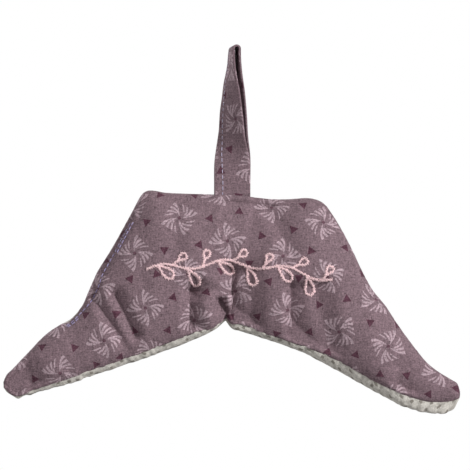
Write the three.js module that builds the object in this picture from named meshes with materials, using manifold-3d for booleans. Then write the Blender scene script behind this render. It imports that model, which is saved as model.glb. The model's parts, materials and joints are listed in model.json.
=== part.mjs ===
// Padded herb sachet in the outline of a clothes hanger, hanging by a tape loop.
// Millimetres, +Z up, front toward -Y, +X to the viewer's right.
// The origin is the point inside the loop's eye where a pin or hook carries the sachet.
import * as THREE from 'three';
import { mergeVertices } from 'three/addons/utils/BufferGeometryUtils.js';
import Module from 'manifold-3d';

const wasm = await Module();
wasm.setup();

// Overall sizes
const SPAN = 200;
const BODY_HEIGHT = 96.5;
const LOOP_DROP = 64;
const PAD_SHIFT = -1.4;
const CLEAR = 0.3;

// Cloth panels
const CLOTH = 0.5;
const FRONT_CROWN = 10.5;
const BACK_CROWN = 11.5;
const CROWN_REACH = 28;
const BACK_FLAT = 9.8;
const SEAM_ALLOWANCE = 6;
const SEAM_ROLL = 4.5;
const ROLL_START = 8;
const ROLL_FULL = 24;
const STRIP = 6;

// Folds in the front panel
const FOLD_DEPTH = 2;
const FOLD_WIDTH = 5;

// Tape loop
const TAPE_WIDTH = 16;
const TAPE_THICK = 1;
const TAPE_CURL = 1.1;
const EYE_RADIUS = 0.9;
const FOOT = 4.5;
const SEAM_EASE = 5;
const TAPE_STITCH_INSET = 3.8;

// Threads
const SEAM_THREAD = 0.3;
const TOP_THREAD = 0.4;
const SEAM_THREAD_INSET = 1.2;
const CLOSING_INSET = 3;

// Embroidery and its backing
const SATIN = 0.6;
const STEM_WIDTH = 1.5;
const LEAF_LENGTH = 9;
const LEAF_WIDTH = 3.6;
const BUD_LENGTH = 4.2;
const BUD_WIDTH = 2.8;
const STALK_LENGTH = 3.2;
const BACKING = 0.3;
const STEM_WAVE = 1.6;
const SPRIG_PAIRS = 6;

// Sizes that follow from the ones above
const HALF_SPAN = SPAN / 2;
const SEAM_HALF_GAP = SEAM_THREAD / 2 + CLEAR;
const LOOP_HALF = SEAM_HALF_GAP + TAPE_THICK;
const LOOP_SEAM_HALF_GAP = LOOP_HALF + CLEAR;
const HINGE_Z = FOOT - LOOP_DROP;
const TAPE_MIDDLE_X = PAD_SHIFT + CLEAR;

// Outline as ribs that cross the pad from its upper to its lower edge, from the left tip to the right tip.
// Each row: upper point across and down, lower point across and down, width of the back cloth that shows.
// Across is a share of the half span, down a share of the body height, the width a share of STRIP.
const RIB_SHARES = [
  [-1, 0.855, -1, 0.885, 0.12], [-0.995, 0.835, -0.985, 0.905, 0.15],
  [-0.978, 0.815, -0.965, 0.925, 0.2], [-0.963, 0.8, -0.946, 0.936, 0.27],
  [-0.945, 0.78, -0.925, 0.929, 0.22], [-0.89, 0.72, -0.855, 0.903, 0.3],
  [-0.825, 0.65, -0.77, 0.879, 0.38], [-0.765, 0.605, -0.69, 0.855, 0.42],
  [-0.705, 0.57, -0.615, 0.827, 0.45], [-0.656, 0.51, -0.535, 0.8, 0.45],
  [-0.622, 0.43, -0.46, 0.773, 0.48], [-0.586, 0.35, -0.39, 0.75, 0.5],
  [-0.532, 0.26, -0.325, 0.724, 0.5], [-0.48, 0.165, -0.26, 0.7, 0.52],
  [-0.43, 0.07, -0.2, 0.676, 0.5], [-0.395, 0.005, -0.155, 0.656, 0.48],
  [-0.36, -0.015, -0.12, 0.64, 0.42], [-0.295, -0.005, -0.085, 0.623, 0.32],
  [-0.2, 0, -0.055, 0.6, 0.3], [-0.005, 0.005, -0.026, 0.573, 0.3],
  [0.08, 0.014, -0.002, 0.608, 0.45], [0.175, 0.025, 0.04, 0.622, 0.52],
  [0.255, 0.025, 0.085, 0.636, 0.45], [0.335, 0.02, 0.14, 0.655, 0.4],
  [0.395, 0.037, 0.205, 0.677, 0.42], [0.435, 0.083, 0.265, 0.7, 0.42],
  [0.485, 0.168, 0.325, 0.725, 0.5], [0.53, 0.258, 0.39, 0.76, 0.62],
  [0.575, 0.357, 0.455, 0.796, 0.7], [0.62, 0.44, 0.525, 0.836, 0.7],
  [0.675, 0.51, 0.6, 0.878, 0.66], [0.73, 0.597, 0.68, 0.923, 0.74],
  [0.795, 0.69, 0.755, 0.963, 0.84], [0.86, 0.772, 0.835, 0.99, 0.86],
  [0.915, 0.817, 0.9, 1, 0.88], [0.96, 0.845, 0.95, 0.994, 0.82],
  [0.995, 0.87, 0.985, 0.97, 0.6], [1, 0.895, 1, 0.935, 0.25],
];

// The turning gap in the upper left edge, closed by the topstitch: lower and upper end across the half span
const GAP_SHARES = [-0.74, -0.45];

// Main folds: start across and down, end across and down, width, depth (positive goes in, negative stands out)
const FOLD_SHARES = [
  [-0.02, 0.56, -0.02, 0.28, 0.8, -0.9],
  [-0.065, 0.58, -0.075, 0.47, 0.8, 1.2],
  [-0.18, 0.28, -0.17, 0.48, 1, 0.7],
  [-0.58, 0.48, -0.47, 0.68, 1, 0.75],
  [-0.49, 0.44, -0.4, 0.68, 0.9, 0.6],
  [0.2, 0.16, 0.21, 0.31, 1.2, 0.6],
  [0.34, 0.22, 0.31, 0.46, 1.2, 0.55],
  [0.39, 0.48, 0.4, 0.6, 1.1, 0.6],
  [0.78, 0.71, 0.83, 0.78, 1.2, 0.6],
];

// Back panel's section between its two seams: across from the upper seam as a share of the rib, beyond the lower
// seam as a share of the strip, and out toward the back as a share of the depth there
const BACK_SECTION_SHARES = [
  [0, 0, 0], [0.03, 0, 0.36], [0.13, 0, 0.72], [0.32, 0, 0.95], [0.55, 0, 1], [0.8, 0, 0.97],
  [0.97, 0.3, 0.86], [1, 0.85, 0.64], [1, 1, 0.4], [1, 0.76, 0.16], [1, 0, 0],
];

// Turn of the tape's width about the vertical, as shares of a quarter turn, in even steps from the seam to the eye
const TWIST_SHARES = [0, 0.12, 0.43, 0.55, 0.7, 0.83, 1];

// Line of the embroidered band across the chest, from its left to its right end: across and down
const BAND_SHARES = [[-0.37, 0.34], [0.04, 0.315], [0.44, 0.385]];

// Faces across each panel
const PANEL_STEPS = 10;

// Colours, each with its roughness
const MAUVE = [0x7f6b72, 0.9];
const PALE_COTTON = [0xcec9bf, 0.92];
const DRIED_HERB = [0x8a8563, 1];
const PINK_SATIN = [0xf6d3d6, 0.45];
const LAVENDER_THREAD = [0xbeb4cd, 0.6];
const VIOLET_THREAD = [0xa096be, 0.6];
const MAUVE_THREAD = [0x6d5a62, 0.7];
const NONWOVEN = [0xf2f0ec, 0.95];

function named(name, geometry, [color, roughness]) {
  const mesh = new THREE.Mesh(geometry, new THREE.MeshStandardMaterial({ color, roughness, metalness: 0 }));
  mesh.name = name;
  return mesh;
}

// A closed slab: each station is one slice with a row of points on either face
function slab(stations) {
  const across = stations[0].outer.length;
  const ring = across * 2;
  const points = stations.flatMap(({ outer, inner }) => [...outer, ...inner.toReversed()]);
  const index = [];
  const quad = (a, b, c, d) => index.push(a, b, c, a, c, d);
  for (let s = 0; s + 1 < stations.length; s += 1) {
    for (let i = 0; i < ring; i += 1) {
      const next = (i + 1) % ring;
      quad(s * ring + i, s * ring + next, (s + 1) * ring + next, (s + 1) * ring + i);
    }
  }
  const last = (stations.length - 1) * ring;
  for (let i = 0; i + 1 < across; i += 1) {
    const opposite = ring - 1 - i;
    quad(opposite, opposite - 1, i + 1, i);
    quad(last + i, last + i + 1, last + opposite - 1, last + opposite);
  }
  const geometry = new THREE.BufferGeometry().setFromPoints(points);
  geometry.setIndex(index);
  return facingOut(geometry);
}

// Turn the faces round where the solid would be inside out
function facingOut(geometry) {
  const place = geometry.getAttribute('position');
  const index = geometry.getIndex().array;
  const corner = [new THREE.Vector3(), new THREE.Vector3(), new THREE.Vector3()];
  let volume = 0;
  for (let i = 0; i < index.length; i += 3) {
    corner.forEach((point, k) => point.fromBufferAttribute(place, index[i + k]));
    volume += corner[0].dot(corner[1].cross(corner[2]));
  }
  if (volume < 0) {
    geometry.setIndex(Array.from(index).reverse());
  }
  geometry.computeVertexNormals();
  return geometry;
}

// A thread laid along a line of points
function thread(points, diameter, steps, sides) {
  const section = new THREE.Shape();
  for (let i = 0; i < sides; i += 1) {
    const turn = (2 * Math.PI * i) / sides;
    const point = [Math.cos(turn) * diameter / 2, Math.sin(turn) * diameter / 2];
    i ? section.lineTo(...point) : section.moveTo(...point);
  }
  section.closePath();
  const extrudePath = new THREE.CatmullRomCurve3(points, false, 'centripetal');
  return new THREE.ExtrudeGeometry(section, { steps, extrudePath });
}

function union(geometries) {
  const solids = geometries.map((geometry) => {
    const bare = geometry.clone();
    bare.deleteAttribute('normal');
    bare.deleteAttribute('uv');
    const merged = mergeVertices(bare);
    const vertProperties = new Float32Array(merged.getAttribute('position').array);
    const triVerts = new Uint32Array(merged.getIndex().array);
    return new wasm.Manifold(new wasm.Mesh({ numProp: 3, vertProperties, triVerts }));
  });
  const mesh = solids.reduce((whole, solid) => whole.add(solid)).getMesh();
  const geometry = new THREE.BufferGeometry();
  geometry.setAttribute('position', new THREE.BufferAttribute(mesh.vertProperties, 3));
  geometry.setIndex(new THREE.BufferAttribute(mesh.triVerts, 1));
  geometry.computeVertexNormals();
  return geometry;
}

const { lerp, clamp, smoothstep } = THREE.MathUtils;
const padPoint = (across, down) => new THREE.Vector2(PAD_SHIFT + across * HALF_SPAN, -LOOP_DROP - down * BODY_HEIGHT);

// A number read from a row of shares at even steps, with a smooth curve through them
function curveThrough(shares) {
  const curve = new THREE.SplineCurve(shares.map((share, i) => new THREE.Vector2(i, share)));
  return (u) => curve.getPoint(u).y;
}

// Share rows along the outline, with extra rows where the tape leaves the seam
function ribRows() {
  const loopEdge = TAPE_WIDTH / 2 + CLEAR * 2;
  const extras = [-loopEdge - SEAM_EASE, -loopEdge, loopEdge, loopEdge + SEAM_EASE]
    .map((x) => (TAPE_MIDDLE_X + x - PAD_SHIFT) / HALF_SPAN);
  const rows = RIB_SHARES.map((row) => [...row]);
  for (const across of extras) {
    const after = rows.findIndex((row) => row[0] > across);
    const [low, high] = [rows[after - 1], rows[after]];
    const share = (across - low[0]) / (high[0] - low[0]);
    rows.splice(after, 0, low.map((value, i) => lerp(value, high[i], share)));
  }
  return rows;
}

// How far the two panels stand apart at the upper seam, on either side of its middle
function upperHalfGap(x) {
  const beside = Math.abs(x - TAPE_MIDDLE_X) - TAPE_WIDTH / 2 - CLEAR * 2;
  return lerp(LOOP_SEAM_HALF_GAP, SEAM_HALF_GAP, clamp(beside / SEAM_EASE, 0, 1));
}

function makeRib([upX, upDown, lowX, lowDown, strip]) {
  const upper = padPoint(upX, upDown);
  const silhouette = padPoint(lowX, lowDown);
  const along = silhouette.clone().sub(upper).normalize();
  const bulge = strip * STRIP;
  const length = silhouette.distanceTo(upper) - bulge;
  const fullness = 1 - Math.exp(-length / CROWN_REACH);
  const roll = SEAM_ROLL * smoothstep(length, ROLL_START, ROLL_FULL);
  const at = (q, y) => new THREE.Vector3(upper.x + along.x * q, y, upper.y + along.y * q);
  return { upper, along, bulge, length, fullness, roll, at, halfGap: upperHalfGap(upper.x) };
}

const ribs = ribRows().map(makeRib);

// Depth of the folds at a place on the front
function foldDepth(x, z) {
  let depth = 0;
  for (const [fromX, fromDown, toX, toDown, width, height] of FOLD_SHARES) {
    const line = new THREE.Line3(
      new THREE.Vector3(...padPoint(fromX, fromDown).toArray(), 0),
      new THREE.Vector3(...padPoint(toX, toDown).toArray(), 0),
    );
    const place = new THREE.Vector3(x, z, 0);
    const away = line.closestPointToPoint(place, true, new THREE.Vector3()).distanceTo(place);
    depth += height * FOLD_DEPTH * Math.exp(-((away / (width * FOLD_WIDTH)) ** 2));
  }
  return depth;
}

// Outer face of the front panel on one rib, from the upper to the lower seam: distance along it and depth
function frontSection(rib) {
  return (v) => {
    const q = rib.length * v;
    const place = rib.at(q, 0);
    const swell = (1 - Math.abs(2 * v - 1) ** 2.6) ** 0.75;
    const seam = lerp(-rib.halfGap, -rib.roll - SEAM_HALF_GAP, v);
    const fold = foldDepth(place.x, place.z) * swell ** 2 * rib.fullness;
    return new THREE.Vector2(q, seam - FRONT_CROWN * rib.fullness * swell + fold);
  };
}

// Outer face of the back panel on one rib, cut flat where the sachet lies against a wall
function backSection(rib) {
  const depth = SEAM_HALF_GAP + BACK_CROWN * rib.fullness;
  const points = BACK_SECTION_SHARES.map(([across, beyond, out], i) => {
    const lowSide = i > BACK_SECTION_SHARES.length / 2;
    const foot = lowSide ? SEAM_HALF_GAP - rib.roll : rib.halfGap;
    return new THREE.Vector2(across * rib.length + beyond * rib.bulge, lerp(foot, depth, out));
  });
  const curve = new THREE.SplineCurve(points);
  return (v) => {
    const point = curve.getPoint(v);
    return point.setY(Math.min(point.y, BACK_FLAT));
  };
}

// A section moved inward by the cloth: side is -1 for the front panel and 1 for the back panel
function insetSection(section, side, amount) {
  const step = 0.002;
  return (v) => {
    const before = section(clamp(v - step, 0, 1));
    const tangent = section(clamp(v + step, 0, 1)).sub(before).normalize();
    const inward = new THREE.Vector2(tangent.y, -tangent.x).multiplyScalar(amount * side);
    return section(v).add(inward);
  };
}

// One slice through a panel: turned-in allowance, outer face, turned-in allowance, and the same again inside
function panelStation(rib, section, side) {
  const thick = Math.min(CLOTH, FRONT_CROWN * rib.fullness * 0.25);
  const inset = insetSection(section, side, thick);
  const [upSeam, lowSeam] = [section(0), section(1)];
  const search = 200;
  const meets = (v, seam) => side * (inset(v).y - seam.y) >= thick;
  let [start, end] = [0, search];
  while (start < search / 2 && !meets(start / search, upSeam)) {
    start += 1;
  }
  while (end > search / 2 && !meets(end / search, lowSeam)) {
    end -= 1;
  }
  const corner = [inset(start / search), inset(end / search)];
  const flap = Math.min(SEAM_ALLOWANCE, rib.length * 0.35);
  const upFlap = Math.max(flap, corner[0].x + thick / 2);
  const lowFlap = Math.min(rib.length - flap, corner[1].x - thick / 2);
  const share = (i) => (1 - Math.cos((Math.PI * i) / PANEL_STEPS)) / 2;
  const outer = [rib.at(upFlap, upSeam.y)];
  const inner = [rib.at(upFlap, upSeam.y + side * thick)];
  for (let i = 0; i <= PANEL_STEPS; i += 1) {
    const onFace = section(share(i));
    const inside = inset(lerp(start, end, share(i)) / search);
    if (i === 0 || i === PANEL_STEPS) {
      inside.y = (i ? lowSeam.y : upSeam.y) + side * thick;
    }
    outer.push(rib.at(onFace.x, onFace.y));
    inner.push(rib.at(inside.x, inside.y));
  }
  outer.push(rib.at(lowFlap, lowSeam.y));
  inner.push(rib.at(lowFlap, lowSeam.y + side * thick));
  return { outer, inner };
}

const frontPanel = slab(ribs.map((rib) => panelStation(rib, frontSection(rib), -1)));
const backPanel = slab(ribs.map((rib) => panelStation(rib, backSection(rib), 1)));

// Where a line toward +Y through a place on the front meets the front panel: first its outer, then its inner face
const frontTarget = new THREE.Mesh(frontPanel, new THREE.MeshBasicMaterial({ side: THREE.DoubleSide }));
const backTarget = new THREE.Mesh(backPanel, frontTarget.material);
function faceDepths(target, x, z, side) {
  const origin = new THREE.Vector3(x, -side * SPAN, z);
  const hits = new THREE.Raycaster(origin, new THREE.Vector3(0, side, 0)).intersectObject(target);
  return hits.map((hit) => hit.point.y);
}

// Herb filling: it follows both panels inside, clear of the seam allowances
function herbFilling() {
  const steps = 9;
  const edge = SEAM_ALLOWANCE + CLEAR * 2;
  const stations = ribs.filter((rib) => rib.length > edge * 3.2).map((rib) => {
    const outer = [];
    const inner = [];
    for (let i = 0; i <= steps; i += 1) {
      const { x, z } = rib.at(lerp(edge, rib.length - edge, i / steps), 0);
      outer.push(new THREE.Vector3(x, faceDepths(frontTarget, x, z, 1)[1] + BACKING + CLEAR * 4, z));
      inner.push(new THREE.Vector3(x, faceDepths(backTarget, x, z, -1)[1] - CLEAR * 1.5, z));
    }
    return { outer, inner };
  });
  return slab(stations);
}

// Seam thread: from the turning gap round the left tip, the lower edge and the right tip to the gap's upper end
function perimeterSeamThread() {
  const [gapLow, gapHigh] = GAP_SHARES.map((share) => padPoint(share, 0).x);
  const nearUpper = (rib) => rib.at(Math.min(SEAM_THREAD_INSET, rib.length * 0.3), 0);
  const nearLower = (rib) => rib.at(rib.length - Math.min(SEAM_THREAD_INSET, rib.length * 0.3), -rib.roll);
  const middle = (rib) => rib.at(rib.length / 2, -rib.roll / 2);
  const inner = ribs.slice(1, -1);
  const points = [
    ...inner.filter((rib) => rib.upper.x < gapLow).toReversed().map(nearUpper),
    middle(ribs[0]),
    ...inner.map(nearLower),
    middle(ribs.at(-1)),
    ...inner.filter((rib) => rib.upper.x > gapHigh).toReversed().map(nearUpper),
  ];
  return thread(points, SEAM_THREAD, 150, 4);
}

// One thread of the topstitch that closes the turning gap: side 1 is the front, -1 the back
function closingThread(side) {
  const target = side > 0 ? frontTarget : backTarget;
  const stand = CLEAR + TOP_THREAD / 2;
  const [gapLow, gapHigh] = GAP_SHARES.map((share) => padPoint(share, 0).x);
  const places = ribs.filter((rib) => rib.upper.x > gapLow && rib.upper.x < gapHigh)
    .map((rib) => rib.at(CLOSING_INSET, 0));
  const line = new THREE.CatmullRomCurve3(places).getSpacedPoints(24);
  const points = line.map(({ x, z }) => {
    const slope = (faceDepths(target, x + CLOTH, z, side)[0] - faceDepths(target, x, z, side)[0]) / CLOTH;
    const away = stand * Math.hypot(1, slope) * 1.3;
    return new THREE.Vector3(x, faceDepths(target, x, z, side)[0] - side * away, z);
  });
  return thread(points, TOP_THREAD, 48, 5);
}

// The loop's tape, laid out before its twist: the middle of its thickness runs up the front, over the pin and down
// the back. Each entry is a point on the tape's outer face and one on its inner face, in depth and height.
function tapeLine(outerLift) {
  const eye = EYE_RADIUS + TAPE_THICK;
  const legSteps = 14;
  const bendSteps = 8;
  const line = [];
  const foot = Math.sqrt(LOOP_HALF ** 2 - SEAM_HALF_GAP ** 2);
  for (let i = 0; i <= legSteps; i += 1) {
    const u = i / legSteps;
    const half = lerp(LOOP_HALF, eye, u);
    const outer = [-half - outerLift, lerp(HINGE_Z, 0, u)];
    const inner = [-half + TAPE_THICK, lerp(HINGE_Z - (i ? 0 : foot), 0, u)];
    line.push({ outer, inner });
  }
  for (let i = 1; i < bendSteps; i += 1) {
    const turn = (Math.PI * i) / bendSteps;
    const outer = [-Math.cos(turn) * (eye + outerLift), Math.sin(turn) * (eye + outerLift)];
    const inner = [-Math.cos(turn) * EYE_RADIUS, Math.sin(turn) * EYE_RADIUS];
    line.push({ outer, inner });
  }
  for (let i = legSteps; i >= 0; i -= 1) {
    const { outer, inner } = line[i];
    line.push({ outer: [-outer[0], outer[1]], inner: [-inner[0], inner[1]] });
  }
  return line;
}

const twistAt = curveThrough(TWIST_SHARES);

// A point of the loop: w across the tape from its middle, then depth and height before the twist
function loopPoint(w, [depth, height]) {
  const up = clamp((height - HINGE_Z) / -HINGE_Z, 0, 1);
  const curlShare = Math.sin(Math.PI * up) * Math.max(-w / (TAPE_WIDTH / 2), 0) ** 2;
  const turn = -twistAt(up) * Math.PI / 2;
  const flat = new THREE.Vector2(w, depth + TAPE_CURL * curlShare).rotateAround(new THREE.Vector2(), turn);
  return new THREE.Vector3(flat.x + lerp(TAPE_MIDDLE_X, 0, up), flat.y, height);
}

function hangingLoop() {
  const steps = 6;
  const row = (point) => Array.from({ length: steps + 1 }, (_, i) => (
    loopPoint(lerp(-TAPE_WIDTH, TAPE_WIDTH, i / steps) / 2, point)
  ));
  return slab(tapeLine(0).map(({ outer, inner }) => ({ outer: row(outer), inner: row(inner) })));
}

function loopTopstitch() {
  const lift = CLEAR + TOP_THREAD / 2;
  const w = TAPE_STITCH_INSET - TAPE_WIDTH / 2;
  const line = tapeLine(lift).slice(1, -1);
  return thread(line.map(({ outer }) => loopPoint(w, outer)), TOP_THREAD, 64, 5);
}

// An end of the tape between the two panels, its top sloped away from the bend: side -1 is the front end
function loopEnd(side) {
  const nearTop = HINGE_Z - LOOP_HALF - CLEAR;
  const farTop = -LOOP_DROP;
  const bottom = -LOOP_DROP - SEAM_ALLOWANCE;
  const [near, far] = [side * SEAM_HALF_GAP, side * LOOP_HALF];
  const station = (x) => ({
    outer: [new THREE.Vector3(x, far, bottom), new THREE.Vector3(x, far, farTop)],
    inner: [new THREE.Vector3(x, near, bottom), new THREE.Vector3(x, near, nearTop)],
  });
  return slab([station(TAPE_MIDDLE_X - TAPE_WIDTH / 2), station(TAPE_MIDDLE_X + TAPE_WIDTH / 2)]);
}

const bandCurve = new THREE.SplineCurve(BAND_SHARES.map(([across, down]) => padPoint(across, down)));

// The stem waves about the band's line
function stemPoint(u) {
  const place = bandCurve.getPointAt(u);
  return place.setY(place.y + STEM_WAVE * Math.sin(2 * Math.PI * u * SPRIG_PAIRS / 2));
}

// A satin-stitched stroke on the front panel: a narrow slab that follows the cloth
function stroke(places, halfWidth) {
  const last = places.length - 1;
  const stations = places.map((place, i) => {
    const before = places[Math.max(i - 1, 0)];
    const tangent = places[Math.min(i + 1, last)].clone().sub(before).normalize();
    const outer = [];
    const inner = [];
    for (const side of [-1, 0, 1]) {
      const x = place.x - side * tangent.y * halfWidth(i / last);
      const z = place.y + side * tangent.x * halfWidth(i / last);
      const cloth = faceDepths(frontTarget, x, z, 1)[0] - CLEAR * 1.4;
      outer.push(new THREE.Vector3(x, cloth - SATIN * (side ? 0.7 : 1), z));
      inner.push(new THREE.Vector3(x, cloth, z));
    }
    return { outer, inner };
  });
  return slab(stations);
}

function lineOf(from, direction, length, steps) {
  return Array.from({ length: steps + 1 }, (_, i) => from.clone().addScaledVector(direction, length * i / steps));
}

// A herb sprig: a waving stem with leaves below it and stalked buds above it, in turn
function embroidery() {
  const stemSteps = 44;
  const stem = Array.from({ length: stemSteps + 1 }, (_, i) => stemPoint(i / stemSteps));
  const strokes = [stroke(stem, () => STEM_WIDTH / 2)];
  const swell = (width) => (u) => width / 2 * (0.25 + 0.75 * Math.sin(Math.PI * clamp(u, 0.04, 0.96)));
  for (let i = 0; i < SPRIG_PAIRS * 2; i += 1) {
    const u = (i + 0.7) / (SPRIG_PAIRS * 2 + 0.4);
    const root = stemPoint(u);
    const ahead = stemPoint(Math.min(u + 0.01, 1)).sub(root).normalize();
    const up = i % 2 ? 1 : -1;
    const lean = ahead.clone().rotateAround(new THREE.Vector2(), up * Math.PI * 0.29);
    if (up < 0) {
      strokes.push(stroke(lineOf(root, lean, LEAF_LENGTH, 6), swell(LEAF_WIDTH)));
    } else {
      const tip = root.clone().addScaledVector(lean, STALK_LENGTH);
      strokes.push(stroke(lineOf(root, lean, STALK_LENGTH + BUD_LENGTH / 3, 3), () => STEM_WIDTH / 2.6));
      strokes.push(stroke(lineOf(tip, lean, BUD_LENGTH, 4), swell(BUD_WIDTH)));
    }
  }
  return union(strokes);
}

// The nonwoven backing behind the embroidery, inside the front panel
function embroideryBacking() {
  const [along, across] = [26, 6];
  const half = LEAF_LENGTH;
  const stations = Array.from({ length: along + 1 }, (_, i) => {
    const place = bandCurve.getPointAt(i / along);
    const outer = [];
    const inner = [];
    for (let k = 0; k <= across; k += 1) {
      const z = place.y + lerp(-half, half, k / across);
      const cloth = faceDepths(frontTarget, place.x, z, 1)[1] + CLEAR * 1.5;
      outer.push(new THREE.Vector3(place.x, cloth, z));
      inner.push(new THREE.Vector3(place.x, cloth + BACKING, z));
    }
    return { outer, inner };
  });
  return slab(stations);
}

const sachet = new THREE.Group();
sachet.add(
  named('front_panel', frontPanel, MAUVE),
  named('back_panel', backPanel, PALE_COTTON),
  named('herb_filling', herbFilling(), DRIED_HERB),
  named('perimeter_seam_thread', perimeterSeamThread(), MAUVE_THREAD),
  named('closing_topstitch', closingThread(1), VIOLET_THREAD),
  named('closing_bobbin_thread', closingThread(-1), VIOLET_THREAD),
  named('loop_end_front', loopEnd(-1), MAUVE),
  named('loop_end_back', loopEnd(1), MAUVE),
  named('embroidery', embroidery(), PINK_SATIN),
  named('embroidery_backing', embroideryBacking(), NONWOVEN),
);

const loop = new THREE.Group();
loop.add(
  named('hanging_loop', hangingLoop(), MAUVE),
  named('loop_topstitch', loopTopstitch(), LAVENDER_THREAD),
);

const herbSachet = new THREE.Group();
herbSachet.add(loop, sachet);

export default herbSachet;
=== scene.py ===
"""Herb sachet: a padded cotton pad in the outline of a clothes hanger, on a sewn-in tape loop.

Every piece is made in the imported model's frame, in metres: +Z up, front toward -Y. The pad is drawn as ribs
that cross it from its upper to its lower edge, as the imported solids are, and its cloth is then settled by
simulation.
"""
import functools
import json
import math

import bmesh
import bpy
import numpy as np
from bpy.props import FloatProperty, FloatVectorProperty, IntProperty, PointerProperty
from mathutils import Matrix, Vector
from mathutils.bvhtree import BVHTree


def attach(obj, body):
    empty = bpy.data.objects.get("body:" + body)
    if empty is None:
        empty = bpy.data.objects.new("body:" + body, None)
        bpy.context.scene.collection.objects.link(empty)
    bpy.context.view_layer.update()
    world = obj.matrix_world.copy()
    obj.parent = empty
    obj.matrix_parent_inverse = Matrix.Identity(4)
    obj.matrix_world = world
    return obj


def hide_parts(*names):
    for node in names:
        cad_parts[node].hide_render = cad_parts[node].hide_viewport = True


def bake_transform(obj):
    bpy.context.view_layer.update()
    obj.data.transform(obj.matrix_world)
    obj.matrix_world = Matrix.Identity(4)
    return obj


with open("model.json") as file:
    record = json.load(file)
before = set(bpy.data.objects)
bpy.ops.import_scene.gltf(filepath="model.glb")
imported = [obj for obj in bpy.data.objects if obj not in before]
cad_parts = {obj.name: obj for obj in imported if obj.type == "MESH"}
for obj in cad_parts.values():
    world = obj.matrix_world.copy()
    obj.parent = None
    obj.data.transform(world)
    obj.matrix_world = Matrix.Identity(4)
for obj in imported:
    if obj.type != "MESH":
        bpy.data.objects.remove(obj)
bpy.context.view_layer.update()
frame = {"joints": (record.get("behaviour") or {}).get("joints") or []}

bl_info = {
    "name": "Herb Sachet",
    "version": (1, 0, 0),
    "blender": (4, 5, 0),
    "location": "3D View > Sidebar > Herb Sachet",
    "description": "Builds a hanger-shaped herb sachet: printed cotton pad, tape loop, stitches, embroidery",
    "category": "Add Mesh",
}

MM = 0.001
HINGE = Vector(frame["joints"][0]["pos_m"])
SEED = 7

# Ribs of the pad from the left to the right tip. Each row: upper point across and down, lower point across
# and down, width of the back cloth that shows. Across is a share of the half span, down of the height.
RIB_SHARES = [
    (-1, 0.855, -1, 0.885, 0.08), (-0.995, 0.835, -0.985, 0.905, 0.1),
    (-0.978, 0.815, -0.965, 0.92, 0.11), (-0.963, 0.8, -0.946, 0.928, 0.13),
    (-0.945, 0.78, -0.925, 0.924, 0.16),
    (-0.89, 0.72, -0.855, 0.903, 0.3), (-0.825, 0.65, -0.77, 0.879, 0.38),
    (-0.765, 0.605, -0.69, 0.855, 0.42), (-0.705, 0.57, -0.615, 0.827, 0.45),
    (-0.656, 0.51, -0.535, 0.8, 0.45), (-0.622, 0.43, -0.46, 0.773, 0.48),
    (-0.586, 0.35, -0.39, 0.75, 0.5), (-0.532, 0.26, -0.325, 0.724, 0.5),
    (-0.48, 0.165, -0.26, 0.7, 0.52), (-0.43, 0.07, -0.2, 0.676, 0.5),
    (-0.395, 0.005, -0.155, 0.656, 0.48), (-0.36, -0.015, -0.12, 0.64, 0.36),
    (-0.295, -0.005, -0.085, 0.623, 0.24), (-0.2, 0, -0.055, 0.6, 0.2),
    (-0.005, 0.005, -0.026, 0.573, 0.2), (0.08, 0.014, -0.002, 0.608, 0.34),
    (0.175, 0.025, 0.04, 0.622, 0.52), (0.255, 0.025, 0.085, 0.636, 0.45),
    (0.335, 0.02, 0.14, 0.655, 0.4), (0.395, 0.037, 0.205, 0.677, 0.42),
    (0.435, 0.083, 0.265, 0.7, 0.42), (0.485, 0.168, 0.325, 0.725, 0.5),
    (0.53, 0.258, 0.39, 0.76, 0.62), (0.575, 0.357, 0.455, 0.796, 0.7),
    (0.62, 0.44, 0.525, 0.836, 0.7), (0.675, 0.51, 0.6, 0.878, 0.66),
    (0.73, 0.597, 0.68, 0.923, 0.74), (0.795, 0.69, 0.755, 0.963, 0.84),
    (0.86, 0.772, 0.835, 0.99, 0.86), (0.915, 0.817, 0.9, 1, 0.88),
    (0.96, 0.845, 0.95, 0.994, 0.82), (0.995, 0.87, 0.985, 0.97, 0.6), (1, 0.895, 1, 0.935, 0.25),
]
NOTCH_RIB = 19

# Rounding of the tips past the outer ribs, how many ribs wide the notch is drawn straight, how much of the
# seam's roll it takes away, and the points of the line on which the ribs are spaced
TIP_LEAN, TIP_REACH = 0.35, 0.004
NOTCH_SHARP, NOTCH_FLAT = 0.8, 0.9
CURVE_POINTS = 2000

# Widths of the pad between which the seam rolls to the front, and the strip's greatest share of a rib
ROLL_WIDTHS = (8 * MM, 24 * MM)
STRIP_LIMIT = 0.4

# The seam: half its gap where it is closed, the tape's middle beside the pad's, and how far beside the tape
# the seam starts to close and is closed
SEAM_GAP = 0.03 * MM
TAPE_SHIFT, TAPE_CLEAR, TAPE_EASE = 0.3 * MM, 0.2 * MM, 2.4 * MM

# Front panel's swell between its seams, as powers: place of its crown, flatness and fullness
SWELL = (0.88, 2.1, 0.72)

# Back panel's section: across from the upper seam as a share of the rib, beyond the lower seam as a share
# of the strip, and out toward the back as a share of the depth there
BACK_SECTION_SHARES = [
    (0, 0, 0), (0.03, 0, 0.36), (0.13, 0, 0.72), (0.32, 0, 0.95), (0.55, 0, 1), (0.8, 0, 0.97),
    (0.97, 0.3, 0.86), (1, 0.85, 0.64), (1, 1, 0.4), (1, 0.76, 0.16), (1, 0, 0),
]

# The back's least depth, and how much of its depth is left beyond the depth at which it lies flat
BACK_LEAST, BACK_GIVE = 0.4 * MM, 0.12

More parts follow.
